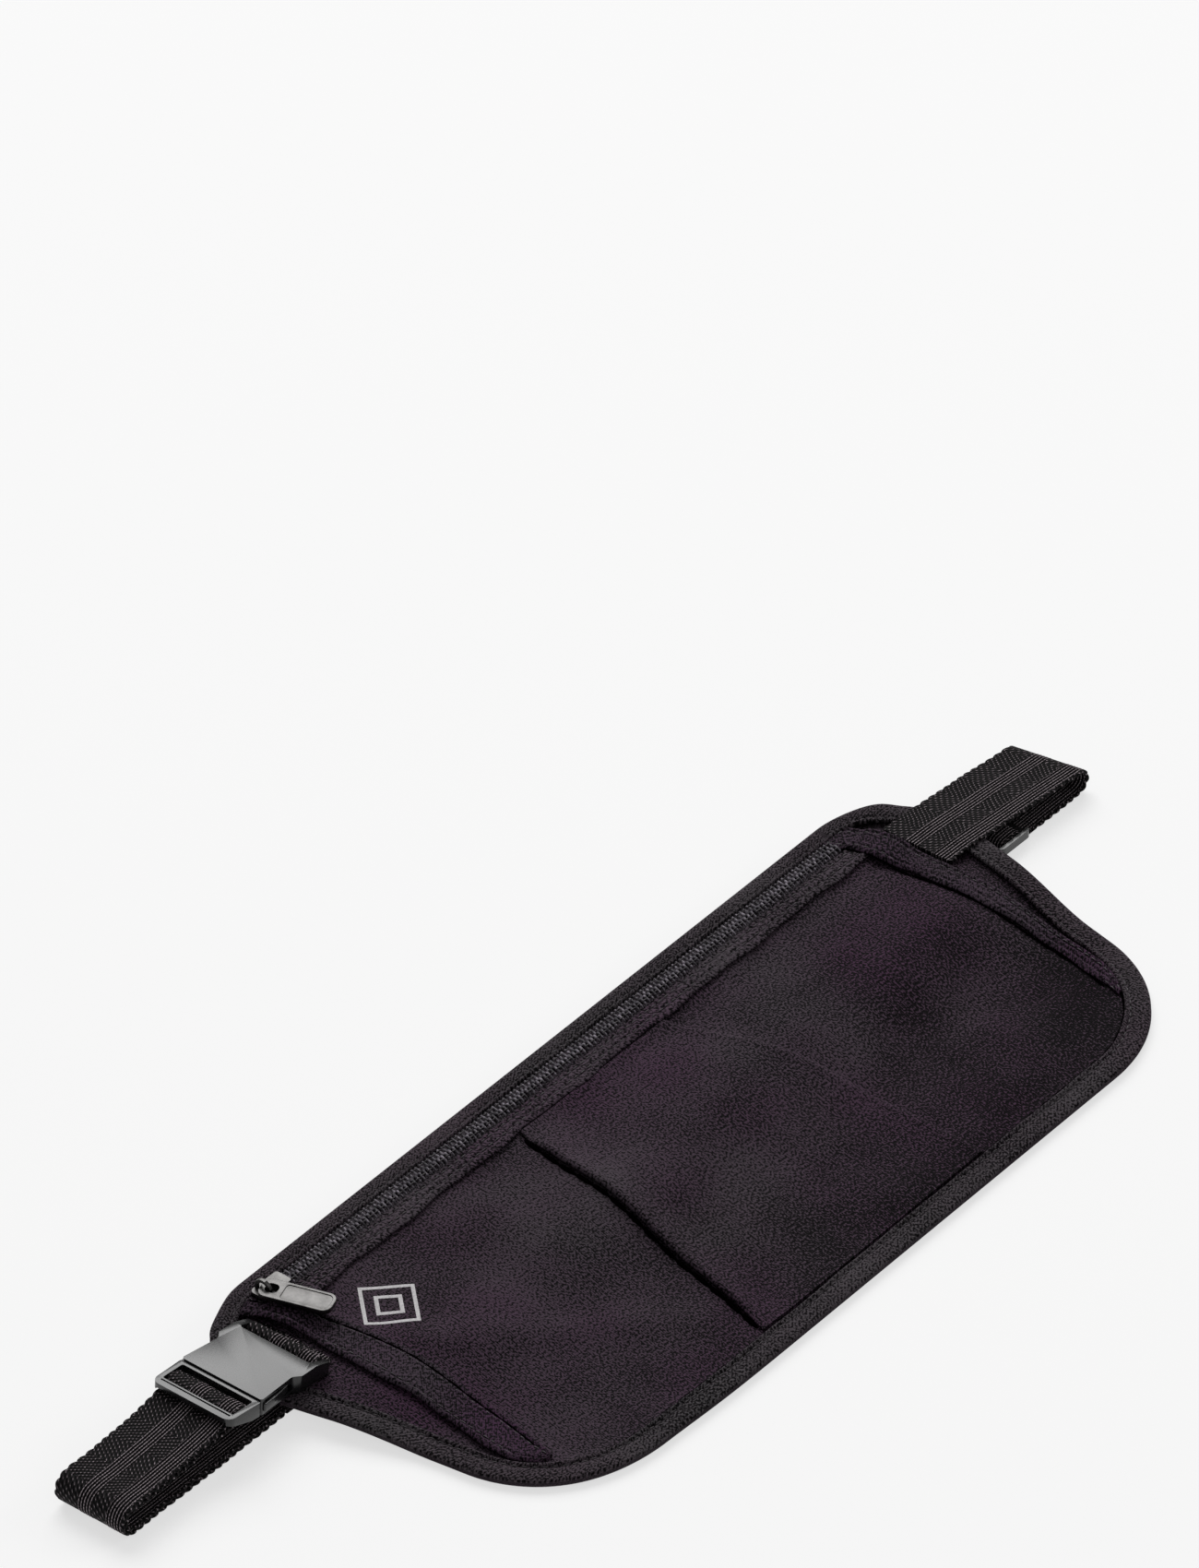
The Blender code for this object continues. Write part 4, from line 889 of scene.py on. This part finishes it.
def make_webbing(name, line, turns, body, nodes, step=0.45, thickness=WEB, fine=True, edge_wave=0.68,
                 phase=0.0):
    """Webbing along a centreline; turns are its plan-view angles from start to end, in radians."""
    path, along = resample(line, step)
    ahead = np.gradient(path, axis=0)
    ahead /= np.linalg.norm(ahead, axis=1)[:, None]
    normal = np.column_stack([-ahead[:, 2], np.zeros(len(path)), ahead[:, 0]])
    normal /= np.linalg.norm(normal, axis=1)[:, None]
    turn = np.interp(along, np.linspace(0.0, along[-1], len(turns)), turns)
    cross = np.column_stack([-np.sin(turn), np.cos(turn), np.zeros(len(path))])
    columns = 113 if fine else 25
    v = np.linspace(-WEB_HALF, WEB_HALF, columns)
    relief = ribbed(v) if fine else np.zeros(columns)
    taper = np.sqrt(np.clip(1.0 - np.clip((np.abs(v) - WEB_HALF + 0.7) / 0.75, 0, 1) ** 2, 0.04, 1.0))
    scallops = np.abs(np.sin(math.pi * (along + phase + 0.5 * np.sin(along / 5.3)) / 3.1)) ** 0.7
    uneven = 0.1 * np.sin(along / 7.0 + phase) + 0.06 * np.sin(along / 2.6)
    stretch = smooth((np.abs(v) - WEB_HALF + 1.6) / 1.6) * np.sign(v)
    across = v[None, :] + stretch[None, :] * (edge_wave * (scallops - 0.6) + uneven)[:, None]
    middle = path[:, None, :] + cross[:, None, :] * across[..., None]
    lift = normal[:, None, :] * (thickness / 2.0 * taper + relief)[None, :, None]
    uv = np.stack(np.broadcast_arrays(along[:, None] + phase, v[None, :]), 2)
    points, faces, uvs = solid_sheet(middle + lift, middle - lift, uv)
    return add_mesh(name, points, faces, web_mat, body, nodes, uvs, 75.0)


def half_turn(x, y, low, high, side, steps=14):
    """Half circle of points from height high down to low, bulging to +X where side is 1."""
    middle, radius = (low + high) / 2.0, (high - low) / 2.0
    angles = [math.pi * (0.5 - i / steps) for i in range(steps + 1)]
    return [(x + side * radius * math.cos(a), y, middle + radius * math.sin(a)) for a in angles]


SKEW = math.atan2(STRAP_Y - RIGHT_FOLD_Y, RIGHT_FOLD_X - LEFT_FOLD_X)
RIGHT_TURN = math.radians(9.5)
LOWER_Z, RETURN_Z = 0.5, 1.8
LAYER_LEFT, LAYER_FIXED = -149.6, 120.0
UNDER_LEFT = (-207.0, -195.0, -180.0, -160.0, -150.0)


def strap_y(x):
    """Middle line of the two strap layers under the pouch."""
    return RIGHT_FOLD_Y + (RIGHT_FOLD_X - x) * math.tan(SKEW)


anchor = [(-133.9, 7.9), (-134.6, 9.0), (-135.3, 9.7), (-136.5, 9.7), (-137.6, 9.2), (-138.1, 8.35),
          (-137.6, 7.5), (-136.5, 7.0), (-135.3, 7.0), (-133.9, 6.5)]
anchor = [(-130.2, 5.45), (-132.4, 5.9), *(on_buckle(x, z) for x, z in anchor), (-131.6, 5.0), (-130.2, 4.7)]
make_webbing("anchor_loop", [(x, STRAP_Y, z) for x, z in anchor], (0.0,), "root", ["anchor_webbing"], 0.3)

seam_x, seam_y = 135.2, 36.9
slope = (RIGHT_FOLD_Y - seam_y) / (RIGHT_FOLD_X - seam_x)
ear_top = PLATEAU + HEM_BASE + CLOTH + 0.3 + WEB / 2.0
right_run = [(seam_x, 7.3), (138.0, 7.45), (141.5, ear_top), (147.0, ear_top + 0.1), (152.6, ear_top),
             (159.0, 7.6), (166.0, 7.6), (176.0, 7.4), (RIGHT_FOLD_X - 0.3, 7.2)]
right_line = [(x, seam_y + slope * (x - seam_x), z) for x, z in right_run]
right_line += half_turn(RIGHT_FOLD_X, RIGHT_FOLD_Y, LOWER_Z, 7.2, 1.0)
right_line += [(x, strap_y(x), LOWER_Z) for x in (181.0, 175.0, 168.9)]
make_webbing("strap_right", right_line, (0.0, RIGHT_TURN * 0.55, RIGHT_TURN, RIGHT_TURN, 0.0), "root",
             ["strap_right_run", "strap_right_fold", "strap_right_lower"], phase=3.0)

wrap = [(-169.9, 6.4), (-167.4, 6.35), (-165.6, 6.8), (-164.9, 7.95), (-165.5, 9.2), (-166.9, 9.85),
        (-168.6, 9.95), (-170.2, 9.6), (-171.3, 8.75), (-172.7, 8.05)]
outer_run = [*(on_buckle(x, z) for x, z in wrap), (-176.0, 10.9), (-184.0, 10.0), (-194.0, 9.4),
             (-203.0, 9.1), (LEFT_FOLD_X + 0.3, 9.05)]
outer_line = [(x, STRAP_Y, z) for x, z in outer_run] + half_turn(LEFT_FOLD_X, STRAP_Y, LOWER_Z, 9.0, -1.0)
outer_line += [(x, strap_y(x), LOWER_Z) for x in UNDER_LEFT]
make_webbing("strap_left_outer", outer_line, (0.0,), "male_half",
             ["strap_bar_wrap", "strap_left_run_outer", "strap_left_fold_outer"])
inner_run = [on_buckle(-170.3, 6.4), (-176.0, 9.4), (-184.0, 8.55), (-194.0, 8.0), (-203.0, 7.75),
             (LEFT_FOLD_X + 0.3, 7.72)]
inner_line = [(x, STRAP_Y, z) for x, z in inner_run]
inner_line += half_turn(LEFT_FOLD_X, STRAP_Y, RETURN_Z, 7.7, -1.0, 10)
inner_line += [(x, strap_y(x), RETURN_Z) for x in UNDER_LEFT]
make_webbing("strap_left_inner", inner_line, (0.0,), "male_half",
             ["strap_left_run_inner", "strap_left_fold_inner"], 0.6)


def long_layer(name, z, last_x, node):
    """Layer under the pouch along the strap line, baked in place and riding on no body."""
    stations = (LAYER_LEFT, -120.0, -80.0, -40.0, 0.0, 60.0, LAYER_FIXED, last_x)
    obj = make_webbing(name, [(x, strap_y(x), z) for x in stations], (0.0,), None, (), 1.6, fine=False,
                       edge_wave=0.0)
    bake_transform(obj)
    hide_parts(node)


long_layer("strap_under", LOWER_Z, 168.6, "strap_under_run")
long_layer("strap_return", RETURN_Z, 151.2, "strap_return_run")


# ---- hard parts

def prism(outline, low, high, axis="Z"):
    """Solid with a plan outline and its two heights, or a side outline and its two y."""
    place = {"Z": lambda u, v, w: (u, v, w), "Y": lambda u, v, w: (u, w, v)}[axis]
    bm = bmesh.new()
    a = [bm.verts.new(place(u, v, low)) for u, v in outline]
    b = [bm.verts.new(place(u, v, high)) for u, v in outline]
    bm.faces.new(a)
    bm.faces.new(b[::-1])
    for i in range(len(outline)):
        j = (i + 1) % len(outline)
        bm.faces.new((a[i], b[i], b[j], a[j]))
    bmesh.ops.recalc_face_normals(bm, faces=bm.faces)
    return bm


def box(x, y, z):
    return prism([(x[0], y[0]), (x[1], y[0]), (x[1], y[1]), (x[0], y[1])], z[0], z[1])


def rounded(corners, steps=6):
    """Closed outline through corners (x, y, radius)."""
    points = []
    for i, (x, y, radius) in enumerate(corners):
        here = Vector((x, y))
        to_last = (Vector(corners[i - 1][:2]) - here).normalized()
        to_next = (Vector(corners[(i + 1) % len(corners)][:2]) - here).normalized()
        if radius <= 0.0:
            points.append((x, y))
            continue
        half_angle = to_last.angle(to_next) / 2.0
        centre = here + (to_last + to_next).normalized() * radius / math.sin(half_angle)
        first = here + to_last * radius / math.tan(half_angle) - centre
        last = here + to_next * radius / math.tan(half_angle) - centre
        turn = first.angle_signed(last)
        for step in range(steps + 1):
            a = -turn * step / steps
            points.append((centre.x + first.x * math.cos(a) - first.y * math.sin(a),
                           centre.y + first.x * math.sin(a) + first.y * math.cos(a)))
    return points


def temp_object(name, bm):
    """Object from a shape in millimetres, which is freed."""
    to_frame = Matrix.Scale(MM, 4) @ Matrix.Translation((POUCH_X, 0.0, 0.0))
    bmesh.ops.transform(bm, matrix=to_frame, verts=bm.verts)
    mesh = bpy.data.meshes.new(name)
    bm.to_mesh(mesh)
    bm.free()
    return new_object(name, mesh)


def carve(name, base, steps, material, body, node, bevel=0.25, tilted=True):
    """Hard part from a base shape and (operation, shape) steps, with rounded edges."""
    obj = temp_object(name, base)
    tools = []
    for index, (operation, bm) in enumerate(steps):
        tool = temp_object(f"{name}_tool_{index}", bm)
        modifier = obj.modifiers.new(f"step_{index}", "BOOLEAN")
        modifier.operation, modifier.object, modifier.solver = operation, tool, "EXACT"
        tools.append(tool)
    finish_hard(obj, bevel)
    for tool in tools:
        bpy.data.objects.remove(tool)
    if tilted:
        start = Vector((TILT_FROM[0] + POUCH_X, 0.0, TILT_FROM[1])) * MM
        end = Vector((TILT_TO[0] + POUCH_X, 0.0, TILT_TO[1])) * MM
        turn = Matrix.Rotation(TILT, 4, "Y")
        obj.data.transform(Matrix.Translation(end) @ turn @ Matrix.Translation(-start))
    obj.data.materials.clear()
    obj.data.materials.append(material)
    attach(obj, body)
    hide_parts(node)


def add_bevel(obj, width, segments, angle):
    """Round edges sharper than angle, in degrees."""
    edge = obj.modifiers.new("bevel", "BEVEL")
    edge.width, edge.segments, edge.limit_method = width * MM, segments, "ANGLE"
    edge.angle_limit = math.radians(angle)


def finish_hard(obj, bevel):
    """Apply the shape steps, then round the edges and apply that too."""
    graph = bpy.context.evaluated_depsgraph_get()
    shaped = bpy.data.meshes.new_from_object(obj.evaluated_get(graph))
    obj.modifiers.clear()
    bm = bmesh.new()
    bm.from_mesh(shaped)
    bmesh.ops.remove_doubles(bm, verts=bm.verts, dist=1e-6)
    bmesh.ops.dissolve_limit(bm, angle_limit=math.radians(2.0), verts=bm.verts, edges=bm.edges)
    bm.to_mesh(shaped)
    bm.free()
    obj.data = shaped
    add_bevel(obj, bevel, 3, 32.0)
    graph = bpy.context.evaluated_depsgraph_get()
    obj.data = bpy.data.meshes.new_from_object(obj.evaluated_get(graph))
    obj.modifiers.clear()
    obj.data.shade_smooth()
    obj.data.set_sharp_from_angle(angle=math.radians(38.0))


BUCKLE_HALF, SLOT_HALF, BAR_HALF = 13.8, 12.45, 12.85
MOUTH_HALF, WAIST_HALF, SHOULDER_HALF = 14.2, 13.1, 14.8
MOUTH_X, REAR_X = -162.0, -134.4
SLOT_X = MOUTH_X + 21.6


def across_buckle(outline, half):
    """Side outline carried across the buckle by half to each side."""
    return prism(outline, STRAP_Y - half, STRAP_Y + half, "Y")


def make_female():
    """Socket of the buckle: hollow mouth, side windows for the latch pads, sloped end and webbing bar."""
    y, low, high = STRAP_Y, 5.8, 11.0
    waist, shoulder = MOUTH_X + 13.6, MOUTH_X + 15.8
    side = [(MOUTH_X, MOUTH_HALF, 0.8), (waist, WAIST_HALF, 2.0), (shoulder, SHOULDER_HALF, 1.0),
            (REAR_X, SHOULDER_HALF - 0.3, 0.6), (REAR_X, SLOT_HALF, 0.4), (SLOT_X, SLOT_HALF, 0.9)]
    corners = [(x, y - w, r) for x, w, r in side] + [(x, y + w, r) for x, w, r in reversed(side)]
    steps = [("DIFFERENCE", box((MOUTH_X - 1.0, MOUTH_X + 17.5), (y - 10.9, y + 10.9), (6.9, 9.8)))]
    for s in (1.0, -1.0):
        arch = rounded([(MOUTH_X + 1.2, 6.6, 0.4), (MOUTH_X + 14.2, 6.6, 0.8), (MOUTH_X + 13.4, 8.8, 1.0),
                        (MOUTH_X + 8.0, 10.2, 4.0), (MOUTH_X + 1.6, 9.9, 0.7)], 5)
        span = sorted((y + s * 9.6, y + s * (BUCKLE_HALF + 2.0)))
        steps.append(("DIFFERENCE", prism(arch, span[0], span[1], "Y")))
    slope_cut = [(SLOT_X - 1.0, high + 1.0), (SLOT_X + 0.5, high + 0.001), (REAR_X + 1.0, high - 2.0),
                 (REAR_X + 1.0, high + 1.0)]
    steps.append(("DIFFERENCE", across_buckle(slope_cut, BUCKLE_HALF + 1.0)))
    bar = [(-136.6, 8.1), (-136.2, 7.8), (-135.5, 7.8), (-135.1, 8.1), (-135.1, 8.6), (-135.5, 8.9),
           (-136.2, 8.9), (-136.6, 8.6)]
    steps.append(("UNION", across_buckle(bar, BAR_HALF)))
    carve("buckle_socket", prism(rounded(corners, 5), low, high), steps, buckle_mat, "root", "buckle_female",
          0.28)


def make_male():
    """Plug of the buckle: plate with a webbing window and bar, a groove and the guide tongue."""
    y, low, high = STRAP_Y, 6.0, 10.5
    front, end = MOUTH_X - 0.3, -174.8
    corners = [(front, y - MOUTH_HALF, 0.5), (front, y + MOUTH_HALF, 0.5),
               (end, y + MOUTH_HALF - 0.4, 2.6), (end, y + 0.4 - MOUTH_HALF, 2.6)]
    inner_edge, outer_edge, roof = front - 1.3, end + 3.1, high - 1.5
    window = rounded([(outer_edge, y - SLOT_HALF, 0.6), (inner_edge, y - SLOT_HALF, 0.6),
                      (inner_edge, y + SLOT_HALF, 0.6), (outer_edge, y + SLOT_HALF, 0.6)], 4)
    slope_cut = [(-165.5, low - 1.0), (-165.5, low - 0.001), (end - 1.0, low + 2.6), (end - 1.0, low - 1.0)]
    webbing_way = box((end - 1.0, outer_edge + 0.5), (y - SLOT_HALF, y + SLOT_HALF), (low - 1.0, roof))
    groove = box((outer_edge - 1.15, outer_edge - 0.6), (y - SLOT_HALF + 0.2, y + SLOT_HALF - 0.2),
                 (high - 0.6, high + 1.0))
    bar = [(-169.2, 7.6), (-168.8, 7.2), (-167.6, 7.2), (-167.2, 7.6), (-167.2, 8.3), (-167.6, 8.7),
           (-168.8, 8.7), (-169.2, 8.3)]
    tongue = rounded([(front - 0.5, y - 4.2, 0.0), (front - 0.5, y + 4.2, 0.0), (-147.5, y + 2.6, 1.2),
                      (-147.5, y - 2.6, 1.2)], 4)
    steps = [("DIFFERENCE", prism(window, low - 1.0, high + 1.0)), ("DIFFERENCE", webbing_way),
             ("DIFFERENCE", across_buckle(slope_cut, MOUTH_HALF + 1.0)), ("DIFFERENCE", groove),
             ("UNION", across_buckle(bar, BAR_HALF)), ("UNION", prism(tongue, 7.3, 9.4))]
    carve("buckle_plug", prism(rounded(corners, 6), low, high), steps, buckle_mat, "male_half", "buckle_male",
          0.22)


make_female()
make_male()


def make_puller():
    """Pull tab with a ring hole, a raised rim and a plain sunken panel."""
    hinge_x, hinge_z, turn = -123.6, 10.95, math.radians(16.8)
    half, end, free, thick = 3.8, 0.75, 0.75 - 21.5, 1.5
    low, high = hinge_z - thick / 2.0, hinge_z + thick / 2.0

    def turned(outline):
        c, s = math.cos(turn), math.sin(turn)
        return [(hinge_x + u * c - v * s, ZIP_Y + u * s + v * c) for u, v in outline]

    outer = rounded([(-half, free, 2.6), (half, free, 2.6), (half, end, 2.4), (-half, end, 2.4)], 9)
    hole = rounded([(-1.8, -4.4, 1.4), (1.8, -4.4, 1.4), (1.8, -0.65, 1.4), (-1.8, -0.65, 1.4)], 7)
    panel = rounded([(-half + 0.85, free + 0.9, 1.8), (half - 0.85, free + 0.9, 1.8),
                     (half - 0.85, -5.9, 1.0), (-half + 0.85, -5.9, 1.0)], 8)
    carve("pull_tab", prism(turned(outer), low, high),
          [("DIFFERENCE", prism(turned(hole), low - 1.0, high + 1.0)),
           ("DIFFERENCE", prism(turned(panel), high - 0.22, high + 1.0))],
          metal_mat, "puller", "zip_puller", 0.18, False)


make_puller()


def make_latch_arms():
    """Flexing arms whose pads stand a little proud of the plate's sides."""
    root_x, root_y = MOUTH_X, 8.0
    side = [(root_x, -0.8, 0.2), (-152.5, -0.2, 1.5), (-147.8, 0.6, 1.0), (-148.2, 2.6, 1.0),
            (-150.2, 5.4, 1.8), (-157.2, 6.7, 2.0), (-161.4, 7.0, 0.5), (-161.4, 4.6, 0.4),
            (-158.2, 1.2, 0.8), (root_x, 0.8, 0.2)]
    for end, s in (("rear", 1.0), ("front", -1.0)):
        corners = [(x, STRAP_Y + s * (root_y + w), r) for x, w, r in side]
        carve(f"latch_pad_{end}", prism(rounded(corners, 5), 7.2, 9.6), [], buckle_mat, f"latch_{end}",
              f"latch_arm_{end}")


make_latch_arms()

# Nodes shown as they are, with their material and the width of their rounded edges.
CAD_FINISH = {"slider_body": (metal_mat, 0.22), "slider_bail": (metal_mat, 0.2),
              "adjuster_frame": (adjuster_mat, 0.25)}
for node_name, (material, width) in CAD_FINISH.items():
    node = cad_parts[node_name]
    node.data.materials.clear()
    node.data.materials.append(material)
    weld = node.modifiers.new("weld", "WELD")
    weld.merge_threshold = 1e-6
    add_bevel(node, width, 2, 35.0)


def adjuster_webbing():
    """The webbing that threads the tri-glide."""
    x, y = 158.2, strap_y(158.2)
    upper = 2.6 + 0.3 + 0.225
    top = upper + 0.75
    loop = [(x - 3.6, y, 1.525), *reversed(half_turn(x + 1.1, y, 1.525, upper, 1.0, 8)), (x - 2.6, y, upper)]
    sides = [(4.2, 1.8), (3.9, 2.9), (2.8, top - 0.15), (1.5, top)]
    bridge = [(x - u, y, z) for u, z in sides] + [(x + u, y, z) for u, z in reversed(sides)]
    for name, line in (("loop", loop), ("bridge", bridge)):
        make_webbing(f"glide_{name}", line, (-SKEW,), "adjuster", [f"adjuster_{name}"], 0.3, 0.45, False, 0.0)


adjuster_webbing()


# ---- printed motif

PRINT_X, PRINT_Y, PRINT_HALF_X, PRINT_HALF_Y = -104.0, 27.0, 10.4, 11.4
# Each outline of the print: its outer and inner size as shares of the halves.
PRINT_SHAPES = [(1.0, 0.86), (0.5, 0.35)]


def make_print():
    """Plain generic motif: two nested rhombus outlines."""
    middle = np.array([PRINT_X, PRINT_Y])
    rhombus = np.array([(0.0, PRINT_HALF_Y), (PRINT_HALF_X, 0.0), (0.0, -PRINT_HALF_Y), (-PRINT_HALF_X, 0.0)])
    share = np.linspace(0.0, 1.0, 13)[:, None]
    points, faces = [], []
    for outer_share, inner_share in PRINT_SHAPES:
        for here, after in zip(rhombus, np.roll(rhombus, -1, axis=0)):
            side = here + (after - here) * share
            faces.extend(grid_faces(len(share), 2, len(points)).tolist())
            points.extend(np.stack([side * outer_share, side * inner_share], 1).reshape(-1, 2) + middle)
    xy = np.array(points)
    z = front_height(xy[:, 0], xy[:, 1]) + CLOTH + 0.05
    return add_mesh("front_print", np.column_stack([xy, z]), faces, print_mat, "root")


make_print()


# ---- flat areas of the cloth panels

def flat_area(top, bottom, extents):
    """Area of a cut panel in square metres, from its edges at 200 rows."""
    ys = np.linspace(top, bottom, 200)
    widths = np.array([extents(y)[1] - extents(y)[0] for y in ys])
    return float(np.trapz(widths, -ys)) * MM * MM


flat_area(EDGE, -EDGE, back_extents)
flat_area(FRONT_TOP, -EDGE, front_extents)
flat_area(CENTRE_TOP, CENTRE_BOTTOM, centre_extents)


# ---- floor, light and camera

FLOOR_HALF, FLOOR_Z = 4.0, -0.0004


def make_floor():
    """Pale surface that glows faintly, so it stays even far from the lights."""
    mesh = bpy.data.meshes.new("floor")
    corners = ((-1.0, -1.0), (1.0, -1.0), (1.0, 1.0), (-1.0, 1.0))
    mesh.from_pydata([(FLOOR_HALF * u, FLOOR_HALF * v, FLOOR_Z) for u, v in corners], [], [(0, 1, 2, 3)])
    g = Graph("pale_floor", (0.36, 0.36, 0.36), 0.75, Specular_IOR_Level=0.1, Emission_Strength=0.64,
              Emission_Color=(1.0, 1.0, 1.0, 1.0))
    mesh.materials.append(g.finish())
    new_object("floor", mesh)


make_floor()

# View: azimuth, elevation and roll of the line of sight to AIM, then the camera's own pan and tilt off it.
AZIMUTH, ELEVATION, ROLL = math.radians(40.777), math.radians(40.188), math.radians(-2.0)
PAN, TILT_UP = math.radians(-0.4909), math.radians(1.617)
DISTANCE, SENSOR, LENS = 3.587, 36.0, 301.03
AIM = Vector((POUCH_X * MM, 0.0, 0.0037))

forward = Vector((math.cos(AZIMUTH) * math.cos(ELEVATION), math.sin(AZIMUTH) * math.cos(ELEVATION),
                  -math.sin(ELEVATION)))
level = Vector((math.sin(AZIMUTH), -math.cos(AZIMUTH), 0.0))
upright = level.cross(forward)
right = level * math.cos(ROLL) + upright * math.sin(ROLL)
up = upright * math.cos(ROLL) - level * math.sin(ROLL)


def make_camera():
    data = bpy.data.cameras.new("camera")
    data.sensor_width, data.lens = SENSOR, LENS
    data.clip_start, data.clip_end = 0.05, 60.0
    camera = new_object("camera", data)
    look = (forward + right * math.tan(PAN) + up * math.tan(TILT_UP)).normalized()
    side = (right - look * right.dot(look)).normalized()
    above = side.cross(look)
    basis = Matrix((side, above, -look)).transposed()
    camera.matrix_world = Matrix.Translation(AIM - forward * DISTANCE) @ basis.to_4x4()
    bpy.context.scene.camera = camera


make_camera()


def add_light(name, azimuth, elevation, distance, size, power):
    """Soft box aimed at the pouch; azimuth is turned from the viewing direction."""
    a = AZIMUTH + math.radians(azimuth)
    e = math.radians(elevation)
    direction = Vector((math.cos(a) * math.cos(e), math.sin(a) * math.cos(e), math.sin(e)))
    data = bpy.data.lights.new(name, "AREA")
    data.shape, data.size, data.size_y = "RECTANGLE", size[0], size[1]
    data.energy = power
    lamp = new_object(name, data)
    lamp.location = AIM + direction * distance
    lamp.rotation_mode = "QUATERNION"
    lamp.rotation_quaternion = direction.to_track_quat("Z", "Y")


add_light("key_behind", 6.0, 42.0, 9.0, (8.0, 5.6), 700.0)
add_light("rim_left", -70.0, 24.0, 4.0, (2.0, 1.1), 22.0)
add_light("fill_front", 185.0, 60.0, 5.0, (3.2, 2.4), 8.0)

world = bpy.data.worlds.new("studio")
bpy.context.scene.world = world
world.use_nodes = True
world.node_tree.nodes["Background"].inputs[0].default_value = (1.0, 1.0, 1.0, 1.0)
world.node_tree.nodes["Background"].inputs[1].default_value = 0.2
bpy.context.scene.view_settings.view_transform = "Standard"
